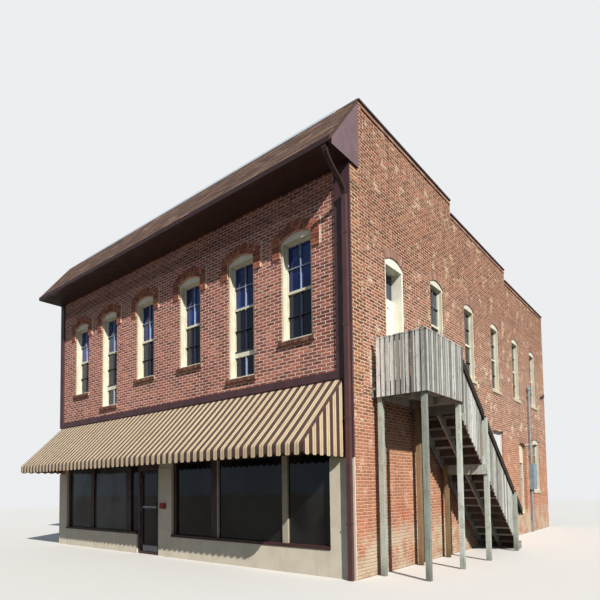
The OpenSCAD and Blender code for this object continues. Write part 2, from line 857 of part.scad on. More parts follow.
// Pent roof
module pent_roof() {
    color([0.40, 0.35, 0.30])
    slab_x(left_x - end_board_t, right_x + end_board_t) translate([front_y, 0])
        polygon([[-pent_out, pent_low_z], [pent_back, pent_top_z],
                 [pent_back, pent_top_z - pent_t], [-pent_out, pent_low_z - pent_t]]);
}

// Height of the underside of the slope, less the gap that the boards keep from it
function under_slope(y) = pent_z(y) - pent_t - seat_gap;

module eave_boxing() {
    color(trim_brown) translate([0, front_y, 0]) {
        slab_x(left_x, right_x) union() {
            translate([fascia_y, soffit_z]) square([-fascia_y, soffit_t]);
            polygon([[fascia_y, soffit_z], [fascia_y + soffit_t, soffit_z],
                     [fascia_y + soffit_t, under_slope(fascia_y)], [fascia_y, under_slope(fascia_y)]]);
        }
        for (x = [left_x - end_board_t, right_x])
            slab_x(x, x + end_board_t)
                polygon([[fascia_y, soffit_z], [pent_back, soffit_z], [pent_back, under_slope(pent_back)],
                         [fascia_y, under_slope(fascia_y)]]);
    }
}

module pent_cap() {
    color("white")
    translate([0, front_y, 0])
    slab_x(left_x - end_board_t, right_x + end_board_t)
        polygon([[pent_back, pent_top_z - pent_t], [wall_t, pent_top_z - pent_t],
                 [wall_t, pent_top_z + cap_t], [pent_back, pent_top_z + cap_t],
                 [pent_back - cap_w, pent_z(pent_back - cap_w) + cap_t],
                 [pent_back - cap_w, pent_z(pent_back - cap_w)], [pent_back, pent_top_z]]);
}

// Middle of the downspout in front of the wall at t, 0 under the gutter and 1 on the wall
neck_y0 = fascia_y - gutter_w / 2;
neck_y1 = -corner_board_t - pipe_gap - downspout_d / 2;
neck_top_z = soffit_z - outlet_h;
function swan_neck(t) = [neck_y0 + (neck_y1 - neck_y0) * (1 - cos(180 * t)) / 2, neck_top_z - neck_h * t];

module gutter_and_downspout() {
    lip_y = fascia_y - gutter_w;
    h = downspout_d / 2;
    neck = [for (i = [0:8]) swan_neck(i / 8)];
    back_z = pent_low_z - pent_t;
    color(trim_brown) translate([0, front_y, 0]) {
        slab_x(left_x - end_board_t, right_x + end_board_t)
            polygon([[lip_y, soffit_z], [fascia_y, soffit_z], [fascia_y, back_z],
                     [fascia_y - gutter_t, back_z], [fascia_y - gutter_t, soffit_z + gutter_t],
                     [lip_y + gutter_t, soffit_z + gutter_t], [lip_y + gutter_t, soffit_z + gutter_h],
                     [lip_y, soffit_z + gutter_h]]);
        slab_x(right_x - downspout_x - downspout_w / 2, right_x - downspout_x + downspout_w / 2)
            polygon(concat(
                [[neck_y0 - h, soffit_z]], [for (p = neck) p - [h, 0]], [[neck_y1 - h, 0]],
                [[neck_y1 + h, 0]], [for (i = [8:-1:0]) neck[i] + [h, 0]], [[neck_y0 + h, soffit_z]]));
    }
}

module corner_boards() {
    top_z = awning_top_z + flashing_h;
    color(trim_brown) translate([0, front_y, 0]) {
        block([right_x - corner_board_w, -corner_board_t, top_z], [right_x, 0, soffit_z]);
        block([right_x - awning_right, -corner_board_t, valance_z], [right_x, 0, top_z]);
        block([left_x, -corner_board_t, awning_top_z], [left_x + left_board_w, 0, soffit_z]);
        block([left_x + left_board_w, -corner_board_t, awning_top_z], [right_x - awning_right, 0, top_z]);
    }
}

// Metal caps along the stepped side walls
module coping_run(x0, x1) {
    steps_y = [front_y + wall_t, front_y + step_1_y, front_y + step_2_y, rear_y];
    for (i = [0:2])
        block([x0, steps_y[i] + (i > 0 ? coping_gap : 0), parapet_z - i * parapet_drop],
              [x1, steps_y[i + 1], parapet_z - i * parapet_drop + coping_t]);
}

module parapet_coping() {
    color([0.30, 0.22, 0.20]) {
        coping_run(left_x - coping_lip, left_x + wall_t + coping_lip);
        coping_run(right_x - wall_t - coping_lip, right_x + coping_lip);
    }
}

// Shopfront
module shopfront_beam() {
    color(stucco_grey)
    block([left_x + wall_t, front_y, beam_z], [right_x - wall_t, front_y + wall_t, storey_z]);
}

// A pilaster: its brick shaft between x0 and x1 and its stucco face between f0 and f1
module pilaster(x0, x1, f0, f1) {
    block([x0, front_y, 0], [x1, front_y + wall_t, beam_z]);
    block([f0, front_y - stucco_t, 0], [f1, front_y, valance_z - tube_gap]);
}

module shopfront_walls() {
    color(stucco_grey) {
        pilaster(left_x + wall_t, bay_l_x, left_x, bay_l_x);
        pilaster(door_x1, bay_r_x, door_x1, bay_r_x);
        pilaster(bay_r_end, right_x - wall_t, bay_r_end, right_x);
        block([bay_l_x, front_y - stucco_t, 0], [door_x0, front_y + wall_t, knee_z]);
        block([bay_r_x, front_y - stucco_t, 0], [bay_r_end, front_y + wall_t, knee_z]);
    }
}

// Widths of the members and panes of one window bay, post and pane in turn
bay_l_parts = [shop_edge_w, pane_1, post_1, pane_2, post_2, sidelight];
bay_r_parts = [shop_edge_w, pane_3, post_3, pane_4, post_4, pane_5, shop_edge_r];

// Sum of the first n entries of a list
function run_to(list, n) = n == 0 ? 0 : list[n - 1] + run_to(list, n - 1);

module shopfront_frames() {
    y0 = front_y + shop_recess;
    y1 = y0 + shop_frame_d;
    color(trim_brown)
    for (bay = [[bay_l_x, bay_l_parts], [bay_r_x, bay_r_parts]]) translate([bay[0], 0, 0]) {
        w = run_to(bay[1], len(bay[1]));
        block([0, front_y - stucco_t - shop_sill_out, knee_z], [w, y1, knee_z + shop_sill_h]);
        block([0, y0, shop_head_z], [w, y1, beam_z]);
        for (i = [0:2:len(bay[1]) - 1])
            block([run_to(bay[1], i), y0, knee_z + shop_sill_h], [run_to(bay[1], i + 1), y1, shop_head_z]);
    }
}

module shopfront_glass() {
    y0 = front_y + shop_recess + shop_frame_d / 2;
    color(glass_blue)
    for (bay = [[bay_l_x, bay_l_parts], [bay_r_x, bay_r_parts]])
        translate([bay[0], 0, 0])
        for (i = [1:2:len(bay[1]) - 1])
            block([run_to(bay[1], i), y0, knee_z + shop_sill_h],
                  [run_to(bay[1], i + 1), y0 + glass_t, shop_head_z]);
}

// Shop door
shop_leaf_y = front_y + leaf_in;
shop_leaf_x0 = door_x0 + jamb_w + leaf_gap;
shop_leaf_w = door_bay - 2 * jamb_w - 2 * leaf_gap;
shop_leaf_z0 = slab_t + leaf_gap;

module shop_door_frame() {
    y0 = front_y + jamb_in;
    y1 = y0 + jamb_d;
    color(trim_brown) {
        block([door_x0, y0, 0], [door_x0 + jamb_w, y1, beam_z]);
        block([door_x1 - jamb_w, y0, 0], [door_x1, y1, beam_z]);
        block([door_x0 + jamb_w, y0, shop_door_top + leaf_gap], [door_x1 - jamb_w, y1, beam_z]);
        block([door_x0 + jamb_w, y0, 0], [door_x1 - jamb_w, front_y + wall_t, slab_t]);
    }
}

// The two glazed openings of the shop door leaf in [x, z], with the leaf's corner at 0
module shop_door_lights() {
    in_w = shop_leaf_w - 2 * stile_w;
    mid = lock_rail_z - shop_leaf_z0;
    top = shop_door_top - shop_leaf_z0 - stile_w;
    translate([stile_w, kick_h]) square([in_w, mid - kick_h]);
    translate([stile_w, mid + lock_rail_h]) square([in_w, top - mid - lock_rail_h]);
}

module shop_door() {
    axis_y = shop_leaf_y - hinge_out;
    pull_x = shop_leaf_x0 + shop_leaf_w - stile_w / 2;
    pull_y = shop_leaf_y - pull_out;
    color([0.72, 0.72, 0.72]) {
        translate([shop_leaf_x0, 0, shop_leaf_z0]) slab_y(shop_leaf_y, shop_leaf_y + leaf_t) difference() {
            square([shop_leaf_w, shop_door_top - shop_leaf_z0]);
            shop_door_lights();
        }
        for (z = hinge_heights(shop_leaf_z0, shop_door_top)) {
            translate([shop_leaf_x0, axis_y, z]) cylinder(r = knuckle_r, h = knuckle_l, $fn = 24);
            block([shop_leaf_x0, axis_y, z], [shop_leaf_x0 + hinge_plate_w, shop_leaf_y, z + knuckle_l]);
        }
        translate([pull_x, pull_y, lock_rail_z - pull_l / 2]) cylinder(d = pull_d, h = pull_l, $fn = 24);
        for (z = [lock_rail_z - pull_l / 2 + pull_d, lock_rail_z + pull_l / 2 - pull_d])
            translate([pull_x, pull_y, z]) rotate([-90, 0, 0])
                cylinder(d = pull_d, h = pull_out + overlap, $fn = 24);
    }
}

module shop_door_glass() {
    y0 = shop_leaf_y + leaf_t / 2;
    color(glass_blue)
    translate([shop_leaf_x0, 0, shop_leaf_z0]) slab_y(y0, y0 + glass_t) shop_door_lights();
}

// Awning
awning_x0 = left_x + awning_left;
awning_x1 = right_x - awning_right;
awning_angle = atan2(awning_top_z - awning_low_z, awning_out);
function awning_turn(r) = [for (a = [0:15:90 - awning_angle])
    [-awning_out + awning_r - r * cos(a), awning_low_z + r * sin(a)]];

// Outer outline of the awning in [y, z], set in by d
module awning_outline(d) {
    low_z = valance_z - (d > 0 ? overlap : 0);
    polygon(concat([[0, low_z], [-awning_out + d, low_z]],
                   awning_turn(awning_r - d), [[0, awning_top_z - d / cos(awning_angle)]]));
}

module awning_canopy() {
    color([0.78, 0.68, 0.50])
    translate([0, front_y, 0]) {
        slab_x(awning_x0, awning_x1) difference() {
            awning_outline(0);
            awning_outline(cloth_t);
        }
        slab_x(awning_x0, awning_x0 + cloth_t) awning_outline(0);
        slab_x(awning_x1 - cloth_t, awning_x1) awning_outline(0);
    }
}

// Awning tubes: the span between the end cloths, the bars on the wall and in front, and the rafters
tubes_x0 = awning_x0 + cloth_t + tube_gap;
tubes_x1 = awning_x1 - cloth_t - tube_gap;
front_bar_y = -awning_out + cloth_t + tube_gap;
front_bar_z = valance_z + front_tube_up;
wall_bar_z = awning_top_z - wall_tube_drop;
strut_z = beam_z + tube;

module awning_bars() {
    color([0.55, 0.55, 0.55])
    translate([0, front_y, 0]) {
        block([tubes_x0, front_bar_y, front_bar_z], [tubes_x1, front_bar_y + tube, front_bar_z + tube]);
        block([tubes_x0, -tube, wall_bar_z], [tubes_x1, 0, wall_bar_z + tube]);
    }
}

module awning_rafters() {
    pitch = (tubes_x1 - tubes_x0 - tube) / awning_bays;
    color([0.55, 0.55, 0.55])
    translate([0, front_y, 0])
    for (i = [0:awning_bays]) translate([tubes_x0 + i * pitch, 0, 0]) {
        slab_x(0, tube) polygon([[-tube, wall_bar_z], [-tube, wall_bar_z + tube],
            [front_bar_y, front_bar_z + 2 * tube], [front_bar_y, front_bar_z + tube],
            [front_bar_y + tube, front_bar_z + tube]]);
        slab_x(0, tube) polygon([[front_bar_y + tube, front_bar_z], [0, strut_z],
            [0, strut_z + tube], [front_bar_y + tube, front_bar_z + tube]]);
    }
}

// Side stair
module landing_deck() {
    planks = round(landing_l / deck_pitch);
    pitch = landing_l / planks;
    color(grey_timber) {
        for (i = [0:planks - 1])
            block([right_x, landing_y0 + i * pitch + deck_gap / 2, upper_floor_z - plank_t],
                  [landing_x1, landing_y0 + (i + 1) * pitch - deck_gap / 2, upper_floor_z]);
        for (x = [right_x, right_x + (landing_w - plank_t) / 2, landing_x1 - plank_t])
            block([x, landing_y0, joist_z], [x + plank_t, stair_top_y, upper_floor_z - plank_t]);
        block([right_x + wall_post_in, landing_y0, joist_z],
              [landing_x1, landing_y0 + plank_t, upper_floor_z - plank_t]);
        block([right_x, stair_top_y - plank_t, joist_z - header_d],
              [landing_x1, stair_top_y, upper_floor_z - plank_t]);
    }
}

module landing_guard() {
    z0 = upper_floor_z - guard_drop;
    z1 = upper_floor_z + guard_h;
    cap_z = z1 + guard_cap_t;
    lip = board_t + tube_gap;
    guard_x0 = right_x + wall_post_in;
    n_front = floor((landing_x1 + board_t - guard_x0) / board_pitch);
    n_side = floor(landing_l / board_pitch);
    color(grey_timber) {
        for (i = [1:n_front]) {
            x = landing_x1 + board_t - i * board_pitch;
            block([x, landing_y0 - board_t, z0], [x + board_w, landing_y0, z1]);
        }
        for (i = [0:n_side - 1]) {
            y = landing_y0 + i * board_pitch;
            block([landing_x1, y, z0], [landing_x1 + board_t, y + board_w, z1]);
        }
        for (z = [upper_floor_z, z1 - guard_rail_d]) {
            block([guard_x0, landing_y0, z], [landing_x1, landing_y0 + plank_t, z + guard_rail_d]);
            block([landing_x1 - plank_t, landing_y0, z], [landing_x1, stair_top_y, z + guard_rail_d]);
        }
        block([guard_x0, landing_y0 - lip, z1], [landing_x1 + lip, landing_y0 + plank_t, cap_z]);
        block([landing_x1 - plank_t, landing_y0 - lip, z1], [landing_x1 + lip, stair_top_y, cap_z]);
        block([landing_x1 - plank_t - newel_w, landing_y0 + plank_t, upper_floor_z],
              [landing_x1 - plank_t, landing_y0 + plank_t + newel_w, cap_z + knob_h]);
        block([landing_x1 - plank_t - newel_w, stair_top_y - newel_w, upper_floor_z],
              [landing_x1 - plank_t, stair_top_y, cap_z]);
    }
}

// Sawn carriages under the steps, with a seat for each tread
module stair_stringers() {
    outer_x = flight_x1 - plank_t;
    inner_x = right_x + carriage_in;
    foot_y = stair_top_y + (upper_floor_z - riser - plank_t - throat) / step_slope;
    color(grey_timber)
    for (x = [inner_x, (inner_x + outer_x) / 2, outer_x])
        slab_x(x, x + plank_t)
            polygon(concat(
                [[stair_top_y, carriage_low(stair_top_y)]],
                [for (i = [1:steps]) for (y = [tread_y(i), tread_y(i + 1)]) [y, tread_z(i) - plank_t]],
                [[tread_y(steps + 1), 0], [foot_y, 0]]));
}

module stair_treads() {
    color(grey_timber)
    for (i = [1:steps])
        block([right_x + carriage_in / 2, tread_y(i), tread_z(i) - plank_t],
              [flight_x1, tread_y(i + 1) + nosing, tread_z(i)]);
}

// Stretches of the flight between its posts, as distances from the front
upper_run = [landing_y + landing_l, post_4_y - newel_w / 2];
lower_run = [post_4_y + newel_w / 2, newel_y - newel_w / 2];
end_run = [newel_y + newel_w / 2, rail_end_y];

// Outline in [y, z] of a sloping member between two distances from the front
module sloping(run, top, depth) {
    y0 = front_y + run[0];
    y1 = front_y + run[1];
    polygon([[y0, step_line(y0) + top - depth], [y1, step_line(y1) + top - depth],
             [y1, step_line(y1) + top], [y0, step_line(y0) + top]]);
}

// Upright boards beside the flight, with sloping tops and square lower ends
module stair_boards(run) {
    n = floor((run[1] - run[0]) / board_pitch);
    for (i = [0:n - 1]) {
        y = front_y + run[0] + i * board_pitch;
        top_a = step_line(y) + rail_h;
        top_b = step_line(y + board_w) + rail_h;
        low = top_a - stair_board_l;
        slab_x(flight_x1, flight_x1 + board_t)
            polygon([[y, low], [y + board_w, low], [y + board_w, top_b], [y, top_a]]);
    }
}

module stair_guard() {
    color(grey_timber) {
        stair_boards([upper_run[0] + tube_gap, upper_run[1] - plank_t]);
        stair_boards([lower_run[0] + tube_gap, lower_run[1]]);
        slab_x(flight_x1 - plank_t, flight_x1)
            sloping([upper_run[0], rail_end_y], rail_h - guard_rail_d, guard_rail_d);
    }
}

// Height of the top of a flight post in the middle of the handrail's lower half
function rail_post_top(y) = step_line(front_y + y) + rail_h - rail_d / 2;

module stair_posts() {
    outer_x = landing_x1 - plank_t - post_w;
    inner_x = right_x + wall_post_in;
    near_y = landing_y0 + plank_t;
    far_y = stair_top_y - plank_t - post_w;
    beam_y1 = front_y + post_4_y - newel_w / 2;
    beam_y0 = beam_y1 - plank_t;
    beam_low = carriage_low(beam_y1) - flight_beam_d;
    color(grey_timber) {
        for (x = [inner_x, outer_x]) for (y = [near_y, far_y])
            block([x, y, 0], [x + post_w, y + post_w, upper_floor_z - plank_t]);
        block([inner_x, beam_y1, 0], [inner_x + post_w, beam_y1 + post_w, carriage_low(beam_y1 + post_w)]);
        for (y = [post_4_y, newel_y])
            block([flight_x1, front_y + y - newel_w / 2, 0],
                  [flight_x1 + newel_w, front_y + y + newel_w / 2, rail_post_top(y)]);
        slab_x(inner_x, flight_x1 + newel_w)
            polygon([[beam_y0, beam_low], [beam_y1, beam_low],
                     [beam_y1, carriage_low(beam_y1)], [beam_y0, carriage_low(beam_y0)]]);
    }
}

module stair_handrails() {
    rail_x = flight_x1 + board_t;
    color([0.25, 0.20, 0.18])
    for (run = [upper_run, lower_run, end_run])
        slab_x(rail_x, rail_x + plank_t) sloping(run, rail_h + seat_gap, rail_d);
}

// Conduit with its weatherhead, the cabinet that it runs into and the small box beside that
module electric_service() {
    y = rear_y - conduit_rear;
    head_r = head_d / 2;
    y0 = y - conduit_d;
    y1 = y0 + cabinet_w;
    color([0.45, 0.48, 0.50]) {
        translate([right_x + head_r, y, 0]) {
            cylinder(d = conduit_d, h = conduit_top + overlap, $fn = 32);
            translate([0, 0, conduit_top])
                rotate_extrude($fn = 32)
                    polygon([[0, 0], [head_r, 0], [head_r, head_r], [head_r / 2, head_d], [0, head_d]]);
        }
        block([right_x, y0, cabinet_z], [right_x + cabinet_d, y1, cabinet_z + cabinet_h]);
        block([right_x, y1, cabinet_z + tube], [right_x + meter_d, y1 + meter_w, cabinet_z + tube + meter_h]);
    }
}

ground_floor();
upper_floor();
roof_deck();
front_wall();
side_wall_front();
side_wall_rear();
side_door_masonry();
side_wall_upper();
party_wall();
rear_wall();
front_window_brickwork();
side_sills();
front_window_frames();
front_window_glass();
side_window_frames();
side_window_glass();
rear_windows();
upper_side_door();
boarded_window();
side_door_frame();
side_door();
pent_roof();
eave_boxing();
pent_cap();
gutter_and_downspout();
corner_boards();
parapet_coping();
shopfront_beam();
shopfront_walls();
shopfront_frames();
shopfront_glass();
shop_door_frame();
shop_door();
shop_door_glass();
awning_canopy();
awning_rafters();
awning_bars();
landing_deck();
landing_guard();
stair_stringers();
stair_treads();
stair_guard();
stair_posts();
stair_handrails();
electric_service();
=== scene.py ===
import math
import random

import bmesh
import bpy
from mathutils import Matrix, Vector


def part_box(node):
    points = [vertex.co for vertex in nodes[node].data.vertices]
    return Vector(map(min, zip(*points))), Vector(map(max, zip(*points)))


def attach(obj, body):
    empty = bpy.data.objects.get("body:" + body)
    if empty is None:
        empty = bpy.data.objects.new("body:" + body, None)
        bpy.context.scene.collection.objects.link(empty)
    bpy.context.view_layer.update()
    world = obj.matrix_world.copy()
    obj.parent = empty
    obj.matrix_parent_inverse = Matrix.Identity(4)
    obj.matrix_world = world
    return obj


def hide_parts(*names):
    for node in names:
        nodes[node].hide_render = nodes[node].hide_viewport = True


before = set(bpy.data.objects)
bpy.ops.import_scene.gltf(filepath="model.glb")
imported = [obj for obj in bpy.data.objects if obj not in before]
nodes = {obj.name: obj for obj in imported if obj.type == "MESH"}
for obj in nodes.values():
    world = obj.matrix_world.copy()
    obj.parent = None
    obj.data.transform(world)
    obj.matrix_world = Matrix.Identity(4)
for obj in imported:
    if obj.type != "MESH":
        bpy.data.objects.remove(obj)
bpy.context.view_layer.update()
scene = bpy.context.scene
rng = random.Random(7)

# Faces of the building, read from the frame
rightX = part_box("side_wall_front")[1].x
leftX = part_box("party_wall")[0].x
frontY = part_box("side_wall_front")[0].y
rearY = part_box("side_wall_rear")[1].y

# The shopfront's bays from the left; the middles of the upper side openings and of the street windows
shopfront = dict(leftPier=0.485, leftBay=3.841, doorBay=0.950, middlePier=0.536, rightPier=0.551,
    frame=0.108, frameRight=0.038, thirdPane=1.287, lastPane=1.050)
doorRight = leftX + shopfront["leftPier"] + shopfront["leftBay"] + shopfront["doorBay"]
sideBays = [-5.31 + i * 2.124 for i in range(6)]
windowX = [-4.26, -2.69, -0.93, 0.93, 2.69, 4.26]


# Node helpers: a new node goes into the tree of the sockets that it is fed from

def startNode(kind, *terms):
    tree = next(term.id_data for term in terms if isinstance(term, bpy.types.NodeSocket))
    return tree.nodes.new("ShaderNode" + kind)


def feed(socket, value):
    if isinstance(value, bpy.types.NodeSocket):
        socket.id_data.links.new(value, socket)
    else:
        socket.default_value = value


def calc(operation, *terms):
    made = startNode("Math", *terms)
    made.operation = operation
    for socket, term in zip(made.inputs, terms):
        feed(socket, term)
    return made.outputs[0]


def times(total, *others):
    for other in others:
        total = calc("MULTIPLY", total, other)
    return total


def plus(total, *others):
    for other in others:
        total = calc("ADD", total, other)
    return total


def minus(first, second):
    return calc("SUBTRACT", first, second)


def absolute(value):
    return calc("ABSOLUTE", value)


def over(value, limit):
    return calc("GREATER_THAN", value, limit)


def below(value, limit):
    return calc("LESS_THAN", value, limit)


def between(value, low, high):
    return times(over(value, low), below(value, high))


def tint(shade):  # three numbers are a colour as seen on screen, 0 to 255; all else stays
    if not isinstance(shade, tuple) or len(shade) != 3:
        return shade
    parts = []
    for part in shade:
        part /= 255
        parts.append(part / 12.92 if part <= 0.04045 else ((part + 0.055) / 1.055) ** 2.4)
    return (*parts, 1.0)


def mixColour(factor, first, second, blend="MIX"):
    made = startNode("Mix", factor)
    made.data_type = "RGBA"
    made.blend_type = blend
    feed(made.inputs[0], factor)
    feed(made.inputs[6], tint(first))
    feed(made.inputs[7], tint(second))
    return made.outputs[2]


def remap(value, low, high, toLow=0.0, toHigh=1.0):
    made = startNode("MapRange", value)
    made.interpolation_type = "SMOOTHSTEP"
    for socket, term in zip(made.inputs, (value, low, high, toLow, toHigh)):
        feed(socket, term)
    return made.outputs[0]


def noise(vector, scale, detail=3.0, rough=0.55):
    made = startNode("TexNoise", vector)
    for label, term in (("Vector", vector), ("Scale", scale), ("Detail", detail), ("Roughness", rough)):
        feed(made.inputs[label], term)
    return made.outputs[0]


def stretch(vector, scale):
    made = startNode("Mapping", vector)
    feed(made.inputs["Vector"], vector)
    feed(made.inputs["Scale"], scale)
    return made.outputs[0]


def ramp(value, stops):
    made = startNode("ValToRGB", value)
    feed(made.inputs[0], value)
    points = made.color_ramp.elements
    for point, (at, shade) in zip(points, (stops[0], stops[-1])):
        point.position, point.color = at, tint(shade)
    for at, shade in stops[1:-1]:
        points.new(at).color = tint(shade)
    return made.outputs[0]


def bump(height, strength, distance):
    made = startNode("Bump", height)
    feed(made.inputs["Strength"], strength)
    feed(made.inputs["Distance"], distance)
    feed(made.inputs["Height"], height)
    return made.outputs[0]


def split(vector):
    made = startNode("SeparateXYZ", vector)
    feed(made.inputs[0], vector)
    return made.outputs


def scatter(*cell):  # one random value for each cell
    key = startNode("CombineXYZ", *cell)
    for socket, term in zip(key.inputs, cell):
        feed(socket, term)
    made = startNode("TexWhiteNoise", key.outputs[0])
    feed(made.inputs["Vector"], key.outputs[0])
    return made.outputs


def objectPlace(tree):
    return tree.nodes.new("ShaderNodeTexCoord").outputs["Object"]


def facingOf(tree):
    return split(tree.nodes.new("ShaderNodeTexCoord").outputs["Normal"])


def startGroup(name, inputs, outputs):
    tree = bpy.data.node_groups.new(name, "ShaderNodeTree")
    for label, kind, value in inputs:
        made = tree.interface.new_socket(name=label, in_out="INPUT", socket_type="NodeSocket" + kind)
        made.default_value = value
    for label in outputs:
        tree.interface.new_socket(name=label, in_out="OUTPUT", socket_type="NodeSocketFloat")
    return tree, tree.nodes.new("NodeGroupInput").outputs, tree.nodes.new("NodeGroupOutput").inputs


def place(tree, groupTree, **values):
    made = tree.nodes.new("ShaderNodeGroup")
    made.node_tree = groupTree
    for label, value in values.items():
        feed(made.inputs[label], value)
    return made.outputs


finish = {}  # every material made here, by its name


def startMaterial(name):
    finish[name] = bpy.data.materials.new(name)
    finish[name].use_nodes = True
    tree = finish[name].node_tree
    return tree, tree.nodes["Principled BSDF"]


def coverShader(shader, colour, rough, normal):
    feed(shader.inputs["Base Color"], colour)
    feed(shader.inputs["Roughness"], rough)
    feed(shader.inputs["Normal"], normal)


# Shared effects

coursingLook = dict(wave=0.02, waveScale=1.3, toothScale=34.0, steep=0.6, shadow=0.8, core=0.35, rim=0.75)


def buildCoursing(look):
    # Bricks laid in a running bond, with a row of headers now and then, and a painted shadow line along the
    # bottom of each course
    tree, given, out = startGroup(
        "brickCoursing",
        [("Length", "Float", 0.216), ("Course", "Float", 0.0677), ("Joint", "Float", 0.011),
         ("Ragged", "Float", 0.006), ("HeaderEvery", "Float", 900.0)],
        ["Joint", "Tone", "Tone2", "Height", "PaintedShadow"])
    where = objectPlace(tree)
    x, y, z = split(where)
    facing = facingOf(tree)
    onSide = over(absolute(facing[0]), look["steep"])
    onFlat = over(absolute(facing[2]), look["steep"])
    along = plus(times(x, minus(1.0, onSide)), times(y, onSide))
    up = plus(times(z, minus(1.0, onFlat)), times(y, onFlat))
    up = plus(up, times(minus(noise(where, look["waveScale"], 2.0), 0.5), look["wave"]))
    rise = calc("DIVIDE", up, given["Course"])
    row = calc("FLOOR", rise)
    rise = calc("FRACT", rise)
    header = calc("COMPARE", calc("FLOORED_MODULO", row, given["HeaderEvery"]), 3.0, 0.2)
    length = times(given["Length"], minus(1.0, times(header, 0.5)))
    shift = calc("FRACT", times(row, 0.5))
    column = plus(calc("DIVIDE", along, length), shift)
    inColumn = absolute(minus(calc("FRACT", column), 0.5))
    inRow = absolute(minus(rise, 0.5))
    reach = calc("DIVIDE", times(given["Joint"], look["shadow"]), given["Course"])
    edgeA = times(minus(0.5, inColumn), length)
    edgeB = times(minus(0.5, inRow), given["Course"])
    tooth = minus(noise(where, look["toothScale"], 3.0, 0.6), 0.5)
    edge = plus(calc("MINIMUM", edgeA, edgeB), times(tooth, given["Ragged"]))
    solid = remap(edge, times(given["Joint"], look["core"]), times(given["Joint"], look["rim"]))
    chance = scatter(calc("FLOOR", column), row, plus(onSide, 3.5))
    # painted shadow: dark along the bottom of each course, as if cast by the brick above onto the joint
    feed(out["PaintedShadow"], remap(rise, 0.0, reach, 1.0, 0.0))
    feed(out["Joint"], minus(1.0, solid))
    feed(out["Tone"], chance["Value"])
    feed(out["Tone2"], split(chance["Color"])[1])
    feed(out["Height"], solid)
    return tree


grimeSizes = dict(Blotch=(0.45, 4.0, 0.6), Patch=(2.3, 5.0, 0.65), Fine=(24.0, 4.0, 0.65))


def buildGrime(sizes):
    # Blotches at three sizes and streaks that run down
    tree, given, out = startGroup("grime", [("Scale", "Float", 1.0)], [*sizes, "Streak"])
    where = objectPlace(tree)
    for label, (scale, detail, rough) in sizes.items():
        feed(out[label], noise(where, times(given["Scale"], scale), detail, rough))
    drawn = stretch(where, (5.0, 5.0, 0.35))
    feed(out["Streak"], noise(drawn, given["Scale"], 4.0, 0.6))
    return tree


def buildGrain():
    # Long wood grain: Stretch is small along the boards and large across them
    tree, given, out = startGroup("woodGrain", [("Stretch", "Vector", (30.0, 30.0, 1.6))],
                                  ["Grain", "Fibre", "Crack"])
    where = tree.nodes.new("ShaderNodeVectorMath")
    where.operation = "MULTIPLY"
    feed(where.inputs[0], objectPlace(tree))
    feed(where.inputs[1], given["Stretch"])
    drawn = where.outputs[0]
    feed(out["Grain"], noise(drawn, 1.0, 4.0, 0.6))
    feed(out["Fibre"], noise(drawn, 4.5, 3.0, 0.6))
    crack = absolute(minus(noise(drawn, 1.9, 2.0, 0.5), 0.5))
    feed(out["Crack"], remap(crack, 0.0, 0.02, 1.0, 0.0))
    return tree


coursing = buildCoursing(coursingLook)
grime = buildGrime(grimeSizes)
woodGrain = buildGrain()
print("shared effects built")


# Brick walls

brickWear = dict(blotchEdges=(0.42, 0.66), smearFade=0.16, smearTone=(0.25, 0.75, 0.45, 1.0), spotScale=2.9,
    spotFade=0.05, spotTone=(0.2, 0.7, 0.2, 1.0), paintedShadowColour=(92, 70, 66), upperFade=2.5,
    washFade=(0.35, 0.25), washEdges=(0.36, 0.6), washShade=(206, 186, 160), streakEdges=(0.52, 0.78),
    streakShade=(96, 74, 66), rough=(0.78, 0.96), depth=0.012)
frontBrickLook = dict(brickWear, length=0.216, course=0.0677, joint=0.016, ragged=0.006, headerEvery=900.0,
    bricks=[(0.0, (104, 59, 53)), (0.3, (150, 85, 70)), (0.62, (178, 103, 83)), (1.0, (214, 136, 110))],
    blotch=(230, 214, 210), mortarLight=(252, 234, 220), mortarDark=(232, 206, 190), smearFrom=0.6,
    smear=0.3, washTop=0.3, wash=0.4, streak=0.25, relief=0.75, under=0.65, spotFrom=0.7, spots=0.3,
    spotColour=(206, 184, 166), endTint=(232, 238, 210),
    bands=[(7.13, 7.38, (120, 96, 92), 0.35), (7.76, 7.87, (120, 96, 92), 0.35)])
sideBrickLook = dict(brickWear, length=0.212, course=0.0634, joint=0.0165, ragged=0.010, headerEvery=7.0,
    bricks=[(0.0, (84, 48, 36)), (0.3, (126, 74, 54)), (0.62, (156, 94, 70)), (1.0, (196, 132, 102))],
    blotch=(234, 210, 196), mortarLight=(248, 228, 204), mortarDark=(208, 178, 150), smearFrom=0.55,
    smear=0.4, washTop=0.9, wash=0.95, streak=0.3, relief=0.85, under=0.6, spotFrom=0.57, spots=0.8,
    spotColour=(232, 210, 184), upperFrom=4.8, upper=(232, 222, 214), lowerTo=3.4, lowerFade=(1.2, 0.4),
    lower=(208, 144, 110), lowerShare=0.5, flush=(206, 92, 56), flushFrom=(0.35, 0.6), flushTo=(0.9, 1.5),
    flushScale=0.9, flushEdges=(0.46, 0.6), flushShare=0.6, flushJoint=0.4)
plainBrickLook = dict(sideBrickLook, spots=0.2, smear=0.2,
    bricks=[(0.0, (96, 56, 46)), (0.4, (130, 78, 62)), (1.0, (166, 108, 88))])


